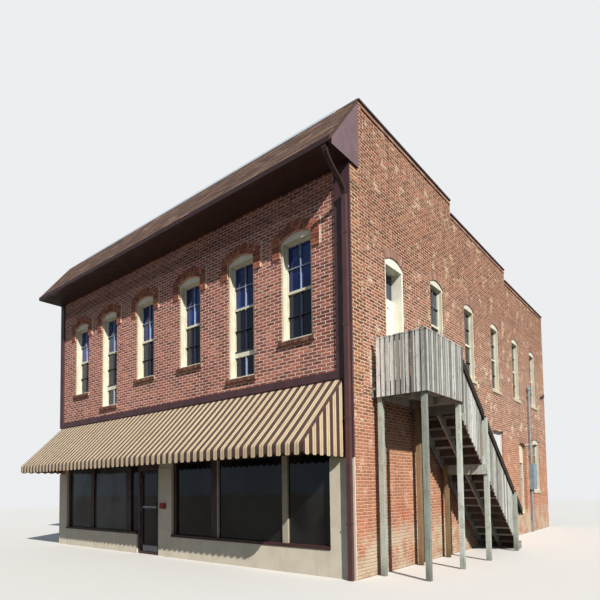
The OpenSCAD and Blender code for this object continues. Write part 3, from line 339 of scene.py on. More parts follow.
def brickMaterial(name, look):
    tree, shader = startMaterial(name)
    laid = place(tree, coursing, Length=look["length"], Course=look["course"], Joint=look["joint"],
                 Ragged=look["ragged"], HeaderEvery=look["headerEvery"])
    dirt = place(tree, grime, Scale=1.0)
    where = objectPlace(tree)
    height = split(where)[2]
    tone = plus(times(laid["Tone"], 0.75), times(dirt["Fine"], 0.25))
    face = ramp(tone, look["bricks"])
    face = mixColour(remap(dirt["Blotch"], *look["blotchEdges"]), face, look["blotch"], "MULTIPLY")
    mortar = mixColour(dirt["Patch"], look["mortarLight"], look["mortarDark"])
    smear = remap(dirt["Patch"], look["smearFrom"], look["smearFrom"] + look["smearFade"])
    smear = times(smear, look["smear"], remap(laid["Tone2"], *look["smearTone"]))
    face = mixColour(smear, face, mortar)
    spots = noise(where, look["spotScale"], 4.0, 0.6)
    spots = remap(spots, look["spotFrom"], look["spotFrom"] + look["spotFade"])
    spots = times(spots, look["spots"], remap(laid["Tone2"], *look["spotTone"]))
    face = mixColour(spots, face, look["spotColour"])
    colour = mixColour(laid["Joint"], face, mortar)
    # painted shadow: a dark line under each brick, multiplied into the colour
    colour = mixColour(times(laid["PaintedShadow"], look["under"]), colour, look["paintedShadowColour"], "MULTIPLY")
    if "upper" in look:
        upper = remap(height, look["upperFrom"], look["upperFrom"] + look["upperFade"])
        colour = mixColour(upper, colour, look["upper"], "MULTIPLY")
    for low, high, shade, amount in look.get("bands", []):  # courses of another brick
        band = times(remap(height, low - 0.01, low + 0.01),
                     remap(height, high - 0.01, high + 0.01, 1.0, 0.0), amount)
        colour = mixColour(band, colour, shade, "MULTIPLY")
    if "lower" in look:  # the lower wall is more orange and its joints show less
        fadeDown, fadeUp = look["lowerFade"]
        low = remap(height, look["lowerTo"] - fadeDown, look["lowerTo"] + fadeUp, 1.0, 0.0)
        colour = mixColour(times(low, look["lowerShare"]), colour, look["lower"])
        joints = minus(look["flushShare"], times(laid["Joint"], look["flushJoint"]))
        flush = times(remap(height, *look["flushFrom"]), remap(height, *look["flushTo"], 1.0, 0.0),
                      remap(noise(where, look["flushScale"], 3.0), *look["flushEdges"]), joints)
        colour = mixColour(flush, colour, look["flush"])
    fadeDown, fadeUp = look["washFade"]
    wash = times(remap(height, look["washTop"] - fadeDown, look["washTop"] + fadeUp, 1.0, 0.0),
                 remap(dirt["Patch"], *look["washEdges"]), look["wash"])
    colour = mixColour(wash, colour, look["washShade"])
    streak = remap(dirt["Streak"], *look["streakEdges"], 0.0, look["streak"])
    colour = mixColour(streak, colour, look["streakShade"], "MULTIPLY")
    if "endTint" in look:  # the front wall's end takes the side wall's tone
        colour = mixColour(over(facingOf(tree)[0], 0.7), colour, look["endTint"], "MULTIPLY")
    relief = plus(laid["Height"], times(dirt["Fine"], 0.35), times(laid["Tone2"], 0.25))
    coverShader(shader, colour, remap(dirt["Fine"], 0.2, 0.8, *look["rough"]),
                bump(relief, look["relief"], look["depth"]))


brickMaterial("frontBrick", frontBrickLook)
brickMaterial("sideBrick", sideBrickLook)
brickMaterial("plainBrick", plainBrickLook)


# Bricks that are pieces of their own carry their tone as an attribute

looseBricks = dict(hoodBrick=[(0.0, (112, 62, 48)), (0.5, (156, 92, 70)), (1.0, (196, 134, 106))],
    sillBrick=[(0.0, (72, 44, 37)), (0.5, (106, 68, 56)), (1.0, (146, 102, 84))],
    archBrick=[(0.0, (122, 88, 76)), (0.5, (152, 114, 98)), (1.0, (184, 146, 126))])


def ownTone(tree):
    made = tree.nodes.new("ShaderNodeAttribute")
    made.attribute_name = "brickTone"
    return made.outputs["Fac"]


def looseBrickMaterial(name, bricks):
    tree, shader = startMaterial(name)
    dirt = place(tree, grime, Scale=1.6)
    mixed = plus(times(ownTone(tree), 0.7), times(dirt["Fine"], 0.3))
    coverShader(shader, ramp(mixed, bricks), remap(dirt["Fine"], 0.2, 0.8, 0.75, 0.95),
                bump(dirt["Fine"], 0.5, 0.006))


for name, bricks in looseBricks.items():
    looseBrickMaterial(name, bricks)


# Paint, stone, metal and stucco

coatBase = dict(scale=1.0, rough=0.6, fine=0.2, streak=0.25, metallic=0.0, relief=0.15, depth=0.002)
coats = dict(
    creamPaint=dict(colour=(228, 224, 204), patch=(216, 210, 188), fleck=(190, 180, 158),
        dirt=(166, 154, 132), rough=0.5, fine=0.25, scale=2.0),
    whitePaint=dict(colour=(222, 224, 224), patch=(208, 210, 210), fleck=(186, 182, 176),
        dirt=(160, 154, 146), rough=0.55, scale=2.0),
    greyPaint=dict(colour=(158, 156, 146), patch=(140, 138, 128), fleck=(112, 108, 98), dirt=(104, 98, 90),
        rough=0.5, scale=2.0),
    brownPaint=dict(colour=(88, 60, 64), patch=(74, 50, 54), fleck=(106, 82, 82), dirt=(52, 38, 40),
        rough=0.45, scale=1.5),
    # painted shade: the base colour is a darker copy of the paint for the soffit and fascia under the eave;
    # the end boards get the paler side colour
    eavePaintWithPaintedShade=dict(colour=(62, 38, 36), patch=(52, 32, 30), fleck=(76, 54, 50), dirt=(40, 27, 25),
        rough=0.5, scale=1.5, sideColour=(126, 103, 108), sidePatch=(112, 90, 94)),
    doorPaint=dict(colour=(246, 244, 230), patch=(236, 232, 216), fleck=(214, 206, 186),
        dirt=(196, 186, 166), rough=0.45, scale=2.0),
    redPaint=dict(colour=(176, 40, 34), patch=(150, 32, 28), fleck=(110, 30, 26), dirt=(90, 30, 26),
        rough=0.4, scale=6.0),
    brownMetal=dict(colour=(98, 66, 66), patch=(86, 58, 58), fleck=(116, 88, 86), dirt=(66, 46, 46),
        rough=0.38, scale=1.5, above=7.0, aboveTint=(176, 172, 170)),
    copingMetal=dict(colour=(62, 50, 48), patch=(80, 66, 62), fleck=(108, 94, 86), dirt=(46, 38, 36),
        rough=0.5, scale=2.0),
    whiteMetal=dict(colour=(236, 238, 240), patch=(218, 220, 222), fleck=(196, 196, 196),
        dirt=(168, 166, 162), rough=0.4, scale=1.5),
    capMetal=dict(colour=(202, 210, 220), patch=(188, 196, 206), fleck=(168, 172, 178),
        dirt=(150, 152, 156), rough=0.4, scale=1.5),
    tubeMetal=dict(colour=(150, 150, 148), patch=(130, 130, 128), fleck=(110, 96, 84), dirt=(104, 92, 82),
        rough=0.45, metallic=0.7),
    meterMetal=dict(colour=(150, 166, 176), patch=(132, 148, 158), fleck=(110, 118, 124), dirt=(92, 96, 98),
        rough=0.45, scale=3.0),
    blackIron=dict(colour=(48, 44, 44), patch=(62, 54, 50), fleck=(90, 66, 54), dirt=(70, 52, 44),
        rough=0.6, scale=4.0),
    paleMortar=dict(colour=(240, 224, 206), patch=(222, 202, 184), fleck=(190, 166, 148),
        dirt=(176, 150, 132), rough=0.9, scale=3.0),
    hoodMortar=dict(colour=(176, 152, 134), patch=(158, 132, 116), fleck=(130, 108, 96), dirt=(110, 88, 76),
        rough=0.9, relief=0.4, depth=0.004, scale=3.0, above=5.5, aboveTint=(1.9, 1.85, 1.8, 1.0)),
    stoneSill=dict(colour=(206, 196, 172), patch=(184, 172, 148), fleck=(156, 142, 120),
        dirt=(140, 122, 104), rough=0.85, relief=0.5, depth=0.006, scale=1.6),
    stucco=dict(colour=(230, 220, 199), patch=(218, 207, 186), fleck=(240, 232, 216), dirt=(176, 163, 142),
        rough=0.9, relief=0.5, depth=0.005, scale=1.2),
    slabStone=dict(colour=(170, 166, 158), patch=(150, 146, 138), fleck=(126, 120, 112),
        dirt=(112, 106, 98), rough=0.85, relief=0.4, depth=0.004),
    roofFelt=dict(colour=(112, 110, 108), patch=(92, 90, 90), fleck=(140, 136, 132), dirt=(78, 74, 72),
        rough=0.9, relief=0.5, depth=0.004))


def patched(dirt, first, second):
    return mixColour(remap(dirt["Patch"], 0.35, 0.68), first, second)


def coatMaterial(name, look):
    tree, shader = startMaterial(name)
    dirt = place(tree, grime, Scale=look["scale"])
    colour = patched(dirt, look["colour"], look["patch"])
    colour = mixColour(times(remap(dirt["Fine"], 0.5, 0.75), look["fine"]), colour, look["fleck"])
    colour = mixColour(remap(dirt["Streak"], 0.5, 0.76, 0.0, look["streak"]), colour, look["dirt"])
    if "above" in look:  # another shade over a given height
        high = over(split(objectPlace(tree))[2], look["above"])
        colour = mixColour(high, colour, look["aboveTint"], "MULTIPLY")
    if "sideColour" in look:  # boards that face along the row get the paler side colour; the darker base elsewhere is painted shade
        onSide = over(absolute(facingOf(tree)[0]), 0.7)
        colour = mixColour(onSide, colour, patched(dirt, look["sideColour"], look["sidePatch"]))
    rough = remap(dirt["Patch"], 0.3, 0.7, look["rough"] - 0.08, look["rough"] + 0.1)
    coverShader(shader, colour, rough, bump(dirt["Fine"], look["relief"], look["depth"]))
    shader.inputs["Metallic"].default_value = look["metallic"]


for name, look in coats.items():
    coatMaterial(name, dict(coatBase, **look))


# Cream window frames: the thin bars between the panes read blue-grey, and dark behind insect screens

sashes = dict(
    sashPaint=dict(colour=(232, 228, 206), patch=(220, 214, 190), dirt=(168, 156, 134), axis=0,
        centres=windowX, halfPane=0.333,
        zones=[(5.655, 6.592, (150, 164, 190)), (4.66, 5.597, (44, 48, 62)),
               (4.118, 4.562, (150, 164, 190))]),
    sideSashPaint=dict(colour=(228, 224, 204), patch=(216, 210, 188), dirt=(166, 154, 132), axis=1,
        centres=sideBays[1:], halfPane=0.293,
        zones=[(5.55, 6.42, (104, 108, 116)), (4.618, 5.49, (70, 72, 78))]))


def sashMaterial(name, look):
    tree, shader = startMaterial(name)
    where = split(objectPlace(tree))
    dirt = place(tree, grime, Scale=2.0)
    colour = patched(dirt, look["colour"], look["patch"])
    colour = mixColour(remap(dirt["Streak"], 0.5, 0.76, 0.0, 0.25), colour, look["dirt"])
    off = 9.0
    for centre in look["centres"]:  # how far it is to the nearest window's middle
        off = calc("MINIMUM", off, absolute(minus(where[look["axis"]], centre)))
    inside = below(off, look["halfPane"])
    for low, high, shade in look["zones"]:
        colour = mixColour(times(inside, between(where[2], low, high)), colour, shade)
    coverShader(shader, colour, 0.5, bump(dirt["Fine"], 0.12, 0.002))


for name, look in sashes.items():
    sashMaterial(name, look)


# Glass is dark, and its blue and grey colours are a painted reflection of the sky; clear is how much of it is
# seen through

glasses = dict(
    windowGlass=dict(deep=(6, 26, 82), light=(22, 60, 134), clear=0.0, screenZ=(4.0, 5.62),
        screen=(18, 24, 44)),
    sideGlass=dict(deep=(30, 38, 48), light=(72, 84, 96), clear=0.1, screenZ=(4.5, 5.5),
        screen=(34, 36, 40)),
    shopGlass=dict(deep=(16, 16, 18), light=(48, 48, 48), clear=0.25, leftTo=-1.75,
        leftReflection=(104, 108, 110)))


def glassMaterial(name, look):
    tree, shader = startMaterial(name)
    where = objectPlace(tree)
    x, _, z = split(where)
    wave = noise(stretch(where, (0.8, 0.8, 0.5)), 1.6, 2.0)
    # painted reflection: the deep and light mottle stands in for the sky mirrored in the glass
    colour = mixColour(remap(wave, 0.36, 0.64), look["deep"], look["light"])
    if "screen" in look:  # insect screens darken the lower sashes
        colour = mixColour(between(z, *look["screenZ"]), colour, look["screen"])
    if "leftTo" in look:  # painted reflection: the left panes get a paler colour for the street mirrored in them
        pale = times(below(x, look["leftTo"]), remap(wave, 0.3, 0.6, 0.25, 0.8))
        colour = mixColour(pale, colour, look["leftReflection"])
    coverShader(shader, colour, 0.04, bump(wave, 0.12, 0.02))
    shader.inputs["Transmission Weight"].default_value = look["clear"]
    shader.inputs["IOR"].default_value = 1.5


for name, look in glasses.items():
    glassMaterial(name, look)


# Timber: pitch is the width of the boards along each axis

timberBase = dict(stretch=(34.0, 34.0, 1.8), pitch=(0.101, 0.101, 9.0), crack=(52, 46, 40),
    stain=(98, 95, 84),
    wood=[(0.2, (74, 70, 64)), (0.42, (148, 147, 140)), (0.6, (194, 194, 187)), (0.85, (234, 235, 228))],
    paintedFrontLight=(1.3, 1.3, 1.33, 1.0), brownerFrom=(rightX + 0.24, frontY + 1.2), seamShade=(120, 114, 106))
timbers = dict(
    guardTimber=dict(seam=(rightX + 1.1305, frontY + 0.5905), seamTo=frontY + 4.3),
    deckTimber=dict(stretch=(1.8, 34.0, 34.0), pitch=(9.0, 0.143, 0.195)),
    postTimber=dict(pitch=(0.5, 0.6, 9.0), wallSide=(234, 194, 156),
        wood=[(0.2, (104, 106, 96)), (0.42, (156, 162, 150)), (0.6, (184, 192, 179)),
              (0.85, (214, 221, 209))]),
    riserTimber=dict(stretch=(1.8, 34.0, 34.0), pitch=(9.0, 9.0, 0.195),
        wood=[(0.2, (66, 54, 47)), (0.5, (96, 82, 72)), (0.9, (128, 112, 100))], crack=(44, 36, 31),
        stain=(74, 64, 55)),
    carriageTimber=dict(stretch=(34.0, 5.0, 7.0), pitch=(0.4, 9.0, 9.0)),
    railTimber=dict(stretch=(34.0, 6.0, 8.0), pitch=(0.4, 2.2, 9.0),
        wood=[(0.0, (36, 27, 23)), (0.5, (54, 43, 37)), (1.0, (84, 68, 58))], crack=(26, 20, 17),
        stain=(44, 36, 31)),
    floorTimber=dict(stretch=(1.5, 20.0, 20.0), pitch=(3.0, 0.09, 9.0),
        wood=[(0.0, (84, 58, 38)), (0.5, (120, 86, 58)), (1.0, (150, 114, 80))], crack=(50, 34, 24),
        stain=(92, 70, 52)))


def timberMaterial(name, look):
    tree, shader = startMaterial(name)
    where = split(objectPlace(tree))
    facing = facingOf(tree)
    grain = place(tree, woodGrain, Stretch=look["stretch"])
    dirt = place(tree, grime, Scale=2.0)
    cells = [calc("FLOOR", calc("DIVIDE", where[i], look["pitch"][i])) for i in range(3)]
    board = scatter(*cells)  # each board has a tone of its own
    tone = plus(times(board["Value"], 0.45), times(grain["Grain"], 0.35), times(grain["Fibre"], 0.25))
    colour = ramp(tone, look["wood"])
    colour = mixColour(times(grain["Crack"], 0.55), colour, look["crack"])
    colour = mixColour(remap(dirt["Patch"], 0.5, 0.72, 0.0, 0.45), colour, look["stain"])
    colour = mixColour(remap(where[2], 0.0, 0.45, 0.5, 0.0), colour, look["stain"])
    if "wallSide" in look:  # members that stand against the wall, back from the front, are tinted browner
        wallX, brownerY = look["brownerFrom"]
        near = times(below(where[0], wallX), over(where[1], brownerY))
        colour = mixColour(near, colour, look["wallSide"], "MULTIPLY")
    if "seam" in look:  # painted shade: the gap beside each board is painted dark
        for i, start in enumerate(look["seam"]):
            turn = calc("FRACT", calc("DIVIDE", minus(where[i], start), look["pitch"][i]))
            gap = remap(absolute(minus(turn, 0.5)), 0.34, 0.41)
            across = over(absolute(facing[1 - i]), 0.7)
            gap = times(gap, across, below(where[1], look["seamTo"]), 0.75)
            colour = mixColour(gap, colour, look["seamShade"], "MULTIPLY")
    # Boards that face the street are painted paler: painted light for stronger sun on their faces
    colour = mixColour(below(facing[1], -0.7), colour, look["paintedFrontLight"], "MULTIPLY")
    relief = minus(grain["Fibre"], times(grain["Crack"], 0.8))
    coverShader(shader, colour, remap(grain["Fibre"], 0.3, 0.7, 0.72, 0.92), bump(relief, 0.45, 0.004))


for name, look in timbers.items():
    timberMaterial(name, dict(timberBase, **look))


shingleShades = [(0.1, (66, 46, 38)), (0.4, (94, 70, 58)), (0.6, (112, 87, 73)), (0.9, (150, 122, 104))]


def shingleMaterial(shades):
    tree, shader = startMaterial("shingle")
    dirt = place(tree, grime, Scale=2.0)
    grit = noise(objectPlace(tree), 260.0, 2.0, 0.7)
    mixed = plus(times(ownTone(tree), 0.55), times(grit, 0.3), times(dirt["Patch"], 0.2))
    coverShader(shader, ramp(mixed, shades), 0.92, bump(grit, 0.5, 0.003))


shingleMaterial(shingleShades)


# Awning stripes, in metres along the shop

stripes = dict(period=0.2, darkFrom=0.25, lineHalf=0.06, tan=(222, 200, 167), tanDirty=(208, 184, 149),
    line=(182, 156, 108), brown=(70, 45, 34), brownLight=(78, 50, 44), soil=(200, 188, 172), soilFrom=1.45,
    soilTo=1.95, thread=2600.0)


def awningMaterial(look):
    # Woven stripes on the cloth's own measure: U runs along the shop, V down the slope
    tree, shader = startMaterial("awningCloth")
    uv = tree.nodes.new("ShaderNodeUVMap")
    uv.uv_map = "cloth"
    u, v, _ = split(uv.outputs[0])
    dirt = place(tree, grime, Scale=1.5)
    turn = calc("FRACT", calc("DIVIDE", u, look["period"]))
    pair = absolute(minus(turn, 0.5))
    dark = remap(pair, look["darkFrom"] - 0.01, look["darkFrom"] + 0.01)
    line = remap(pair, look["lineHalf"] - 0.02, look["lineHalf"] + 0.02, 1.0, 0.0)
    tan = mixColour(remap(dirt["Patch"], 0.35, 0.7), look["tan"], look["tanDirty"])
    tan = mixColour(times(line, 0.8), tan, look["line"])
    brown = mixColour(remap(dirt["Patch"], 0.35, 0.65), look["brown"], look["brownLight"])
    colour = mixColour(dark, tan, brown)
    low = remap(v, look["soilFrom"], look["soilTo"], 0.0, 0.25)
    colour = mixColour(low, colour, look["soil"], "MULTIPLY")
    threads = [calc("SINE", times(way, look["thread"])) for way in (u, v)]
    weave = plus(times(times(*threads), 0.3), dirt["Fine"])
    coverShader(shader, colour, 0.85, bump(weave, 0.2, 0.002))
    shader.inputs["Sheen Weight"].default_value = 0.15


awningMaterial(stripes)


# The shop's frames are brown, with two pale posts in the right bay

thirdPost = doorRight + shopfront["middlePier"] + shopfront["frame"] + shopfront["thirdPane"]
lastPost = rightX - shopfront["rightPier"] - shopfront["frameRight"] - shopfront["lastPane"]
shopFrameLook = dict(brown=(78, 50, 48), brownWorn=(62, 40, 38), pale=(186, 176, 156),
    paleWorn=(168, 156, 136), postZ=(0.561, 2.3),
    posts=[(thirdPost + 0.2, thirdPost + 0.245), (lastPost - 0.145, lastPost + 0.002)])


def shopFrameMaterial(look):
    tree, shader = startMaterial("shopFrame")
    x, _, z = split(objectPlace(tree))
    dirt = place(tree, grime, Scale=2.0)
    colour = patched(dirt, look["brown"], look["brownWorn"])
    pale = patched(dirt, look["pale"], look["paleWorn"])
    for post in look["posts"]:
        inside = times(between(x, *post), between(z, *look["postZ"]))
        colour = mixColour(inside, colour, pale)
    coverShader(shader, colour, remap(dirt["Patch"], 0.3, 0.7, 0.4, 0.55), bump(dirt["Fine"], 0.12, 0.002))


shopFrameMaterial(shopFrameLook)


shopDoorLook = dict(rail=(176, 180, 184), railWorn=(148, 153, 160), stile=(66, 58, 58),
    stileWorn=(50, 44, 45), stileWide=0.07, edge=0.016, railZ=(1.175, 1.235), kickTop=0.245)


def shopDoorMaterial(look):
    # Grey rails between dark stiles, with a bright strip along the hinge-side edge
    tree, shader = startMaterial("shopDoorMetal")
    x, _, z = split(objectPlace(tree))
    low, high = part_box("shop_door")
    dirt = place(tree, grime, Scale=2.0)
    rail = patched(dirt, look["rail"], look["railWorn"])
    stile = patched(dirt, look["stile"], look["stileWorn"])
    middle = between(x, low.x + look["stileWide"], high.x - look["stileWide"])
    rails = calc("MAXIMUM", between(z, *look["railZ"]), below(z, look["kickTop"]))
    edge = below(x, low.x + look["edge"])
    colour = mixColour(calc("MAXIMUM", times(middle, rails), edge), stile, rail)
    coverShader(shader, colour, remap(dirt["Patch"], 0.3, 0.7, 0.3, 0.45), bump(dirt["Fine"], 0.1, 0.001))
    shader.inputs["Metallic"].default_value = 0.4


shopDoorMaterial(shopDoorLook)
print("materials built")

# Each CAD node's finish
covered = dict(frontBrick=["front_wall"], plainBrick=["party_wall", "rear_wall"],
    sideBrick=["side_wall_front", "side_wall_rear", "side_door_masonry", "side_wall_upper"],
    slabStone=["ground_floor"], floorTimber=["upper_floor"], roofFelt=["roof_deck"], shingle=["pent_roof"],
    whiteMetal=["pent_cap"], eavePaintWithPaintedShade=["eave_boxing"], brownMetal=["gutter_and_downspout"],
    copingMetal=["parapet_coping"], stoneSill=["side_sills"], sashPaint=["front_window_frames"],
    sideSashPaint=["side_window_frames"], creamPaint=["rear_windows", "side_door_frame"],
    doorPaint=["upper_side_door"], whitePaint=["boarded_window"], greyPaint=["side_door"],
    windowGlass=["front_window_glass"], sideGlass=["side_window_glass"],
    shopGlass=["shopfront_glass", "shop_door_glass"], brownPaint=["corner_boards", "shop_door_frame"],
    stucco=["shopfront_beam", "shopfront_walls"], shopFrame=["shopfront_frames"],
    shopDoorMetal=["shop_door"], tubeMetal=["awning_rafters", "awning_bars"],
    deckTimber=["landing_deck", "stair_treads"], guardTimber=["landing_guard", "stair_guard"],
    postTimber=["stair_posts"], carriageTimber=["stair_stringers"], railTimber=["stair_handrails"],
    meterMetal=["electric_service"])
for material, names in covered.items():
    for name in names:
        nodes[name].data.materials.clear()
        nodes[name].data.materials.append(finish[material])
print("CAD nodes finished")


# Piece helpers

def addBlock(bm, extent, centre, turn=Matrix.Identity(4), tone=None):
    matrix = Matrix.Translation(centre) @ turn @ Matrix.Diagonal((*extent, 1.0))
    made = bmesh.ops.create_cube(bm, size=1.0, matrix=matrix)
    if tone is not None:
        layer = bm.faces.layers.float["brickTone"]
        for face in {face for vert in made["verts"] for face in vert.link_faces}:
            face[layer] = tone


def addCone(bm, lower, upper, depth, centre, turn=Matrix.Identity(4)):
    bmesh.ops.create_cone(bm, cap_ends=True, segments=16, radius1=lower, radius2=upper, depth=depth,
                          matrix=Matrix.Translation(centre) @ turn)


def startBricks():
    bm = bmesh.new()
    bm.faces.layers.float.new("brickTone")
    return bm


def fan(span, count):  # the angles of a ring of bricks
    return [-span + (k + 0.5) * 2 * span / count for k in range(count)]


def soften(piece, width):
    softened = piece.modifiers.new("softEdge", "BEVEL")
    softened.width = width
    softened.segments = 1
    softened.limit_method = "ANGLE"
    return softened


def addObject(name, data):
    made = bpy.data.objects.new(name, data)
    scene.collection.objects.link(made)
    return made


def addMesh(name, bm, material):
    mesh = bpy.data.meshes.new(name)
    bm.to_mesh(mesh)
    bm.free()
    mesh.materials.append(finish[material])
    return addObject(name, mesh)


def finishPiece(name, bm, material, replaced=(), edge=0.0):
    piece = addMesh(name, bm, material)
    if edge:
        soften(piece, edge)
    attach(piece, "building")
    if replaced:
        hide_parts(*replaced)
    return piece


# Brick hoods over the street windows: two rings and an upright end at each side

hoods = dict(width=0.8, rise=0.11, spring=6.66, brickT=0.058, joint=0.0105, ringH=0.098, ringGap=0.009,
    clear=0.004, ringReach=(0.004, 0.205), out=0.033, bedded=0.02, back=0.0015, ear=0.33, earRows=6,
    stretcher=[(0.105, 0.2)], headers=[(0.052, 0.095), (0.157, 0.095)])


def buildHoods():
    bm = startBricks()
    half = hoods["width"] / 2
    radius = (half ** 2 + hoods["rise"] ** 2) / (2 * hoods["rise"])
    depth = hoods["out"] + hoods["bedded"]
    midY = frontY - hoods["out"] + depth / 2
    centreZ = hoods["spring"] + hoods["rise"] - radius
    step = hoods["brickT"] + hoods["joint"]
    top = hoods["spring"] - hoods["ear"] + hoods["earRows"] * step
    for x in windowX:
        for ring, reach in enumerate(hoods["ringReach"]):
            inner = radius + hoods["clear"] + ring * (hoods["ringH"] + hoods["ringGap"])
            mid = inner + hoods["ringH"] / 2
            span = math.asin((half + reach) / (inner + hoods["ringH"] * 0.6))
            count = max(1, round(2 * span * mid / step))
            extent = (2 * span * mid / count - hoods["joint"], depth, hoods["ringH"])
            for angle in fan(span, count):
                y = midY - hoods["back"] + rng.uniform(-0.0005, 0.0005)
                turn = Matrix.Rotation(angle + rng.uniform(-0.015, 0.015), 4, "Y")
                centre = (x + mid * math.sin(angle), y, centreZ + mid * math.cos(angle))
                addBlock(bm, extent, centre, turn, rng.random())
        for side in (-1, 1):
            for k in range(hoods["earRows"]):
                z = top - (k + 0.5) * step
                for offset, width in hoods["stretcher"] if k % 2 else hoods["headers"]:
                    centre = (x + side * (half + offset), midY, z)
                    extent = (width, depth, hoods["brickT"])
                    addBlock(bm, extent, centre, tone=rng.random() * 0.8)
    finishPiece("hoodBricks", bm, "hoodBrick", edge=0.004)


sills = dict(tops=[4.59, 4.05, 4.59, 4.59, 4.05, 4.59], ear=0.055, out=0.058, bedded=0.02, height=0.086,
    joint=0.009, drop=0.046, tilt=0.03)


def buildSills():
    bm = startBricks()
    width = hoods["width"] + 2 * sills["ear"]
    count = round(width / (hoods["brickT"] + hoods["joint"]))
    extent = (width / count - sills["joint"], sills["out"] + sills["bedded"], sills["height"])
    y = frontY - sills["out"] / 2 + 0.012
    turn = Matrix.Rotation(sills["tilt"], 4, "X")
    for x, top in zip(windowX, sills["tops"]):
        for k in range(count):
            z = top - sills["drop"] + rng.uniform(-0.001, 0.001)
            addBlock(bm, extent, (x - width / 2 + (k + 0.5) * width / count, y, z), turn, rng.random())
    finishPiece("sillBricks", bm, "sillBrick", edge=0.005)


def buildHoodMortar():
    # The same outline set back, so that it shows as the joints between the bricks
    bm = bmesh.new()
    bm.from_mesh(nodes["front_window_brickwork"].data)
    bmesh.ops.remove_doubles(bm, verts=bm.verts, dist=0.0001)
    for vert in bm.verts:
        if vert.co.y < frontY - 0.005:
            vert.co.y = frontY - (frontY - vert.co.y) * 0.6
    finishPiece("hoodMortarBed", bm, "hoodMortar", replaced=("front_window_brickwork",))


paleJoints = dict(right=0.63, low=6.38, pitch=0.066, count=8, size=(0.022, 0.008, 0.062))


def buildPaleJoints():
    # An upright joint, pointed in pale mortar, to the right of each hood
    bm = bmesh.new()
    wide, deep, tall = paleJoints["size"]
    for x in windowX:
        for k in range(paleJoints["count"]):
            extent = (wide + rng.uniform(-0.004, 0.004), deep, tall)
            jointX = x + paleJoints["right"] + rng.uniform(-0.003, 0.003)
            addBlock(bm, extent, (jointX, frontY - 0.001, paleJoints["low"] + k * paleJoints["pitch"]))
    finishPiece("paleJoints", bm, "paleMortar")


buildHoods()
buildSills()
buildHoodMortar()
buildPaleJoints()


# Flush rowlock arches over the side openings: middle, width, spring and rise of each

sideArches = dict(ringH=0.195, clear=0.004, proud=0.004, depth=0.04, pitch=0.0685, joint=0.011, ear=0.05,
    openings=[(sideBays[0], 0.8, 6.25, 0.13), *[(y, 0.72, 6.49, 0.11) for y in sideBays[1:]],
              (sideBays[5] + 0.09, 0.9, 3.2, 0.11), (rearY - 3.7 + 0.4, 0.8, 3.0, 0.11)])


def buildSideArches():
    bm = startBricks()
    ringH, depth = sideArches["ringH"], sideArches["depth"]
    for y, width, spring, rise in sideArches["openings"]:
        half = width / 2
        radius = (half ** 2 + rise ** 2) / (2 * rise)
        mid = radius + ringH / 2 + sideArches["clear"]
        span = math.asin((half + sideArches["ear"]) / mid)
        count = max(1, round(2 * span * mid / sideArches["pitch"]))
        extent = (depth, 2 * span * mid / count - sideArches["joint"], ringH)
        x = rightX + sideArches["proud"] - depth / 2
        for angle in fan(span, count):
            centre = (x, y + mid * math.sin(angle), spring + rise - radius + mid * math.cos(angle))
            addBlock(bm, extent, centre, Matrix.Rotation(-angle, 4, "X"), rng.random())
    finishPiece("sideArchBricks", bm, "archBrick", edge=0.004)


buildSideArches()
print("brick arches laid")


# Shingles on the pent roof, and its white cap

shingles = dict(lower=(-0.68, 7.76), upper=(0.25, 8.99), exposure=0.128, tab=0.305, gap=0.006, thick=0.007,
    overlap=1.12, kick=0.035, least=0.02, rowSpread=0.06, tabSpread=0.22)
cap = dict(left=0.95, right=0.435, down=0.055, up=0.014, flap=(0.13, 0.012), lip=(0.04, 0.05))


def buildShingles():
    low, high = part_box("pent_roof")
    lowerEdge, upperEdge = [Vector((0.0, frontY + shingles[edge][0], shingles[edge][1]))
                            for edge in ("lower", "upper")]
    slope = upperEdge - lowerEdge
    along = slope.normalized()
    tilt = math.atan2(slope.z, slope.y)
    outward = Vector((0.0, -math.sin(tilt), math.cos(tilt)))
    bm = startBricks()
    rows = int(slope.length / shingles["exposure"])
    pitch = slope.length / rows
    turn = Matrix.Rotation(tilt - shingles["kick"], 4, "X")
    for row in range(rows):
        x = low.x - (shingles["tab"] / 2 if row % 2 else 0.0)
        rowTone = rng.uniform(-shingles["rowSpread"], shingles["rowSpread"])
        while x < high.x:
            x0, x1 = max(x, low.x), min(x + shingles["tab"] - shingles["gap"], high.x)
            if x1 - x0 > shingles["least"]:
                extent = (x1 - x0, pitch * shingles["overlap"], shingles["thick"])
                centre = lowerEdge + along * (row * pitch + extent[1] / 2 - 0.002)
                centre += outward * (extent[2] * 0.9)
                centre.x = (x0 + x1) / 2
                tone = rng.gauss(0.5, shingles["tabSpread"]) + rowTone
                addBlock(bm, extent, centre, turn, min(1.0, max(0.0, tone)))
            x += shingles["tab"]
    finishPiece("shingleTabs", bm, "shingle")

    bm = bmesh.new()  # a flap on the slope and a lip along the top edge
    x0, x1 = leftX + cap["left"], rightX - cap["right"]
    flap = upperEdge - along * cap["down"] + outward * cap["up"]
    flap.x = (x0 + x1) / 2
    addBlock(bm, (x1 - x0, *cap["flap"]), flap, Matrix.Rotation(tilt, 4, "X"))
    addBlock(bm, (x1 - x0, *cap["lip"]), (flap.x, upperEdge.y + 0.02, upperEdge.z + 0.013))
    finishPiece("capStrip", bm, "capMetal", replaced=("pent_cap",), edge=0.002)


buildShingles()
print("shingles laid")


# Awning cloth: a slope, a round turn over the front bar and a scalloped valance

awning = dict(low=2.36, turn=0.09, slopeLength=1.8, edge=0.004, slopeSteps=24, turnSteps=4, valanceSteps=4,
    scallop=0.2, scallopDepth=0.1, scallopPower=2.4, perScallop=10, sag=0.0168, bays=6, thick=0.003)


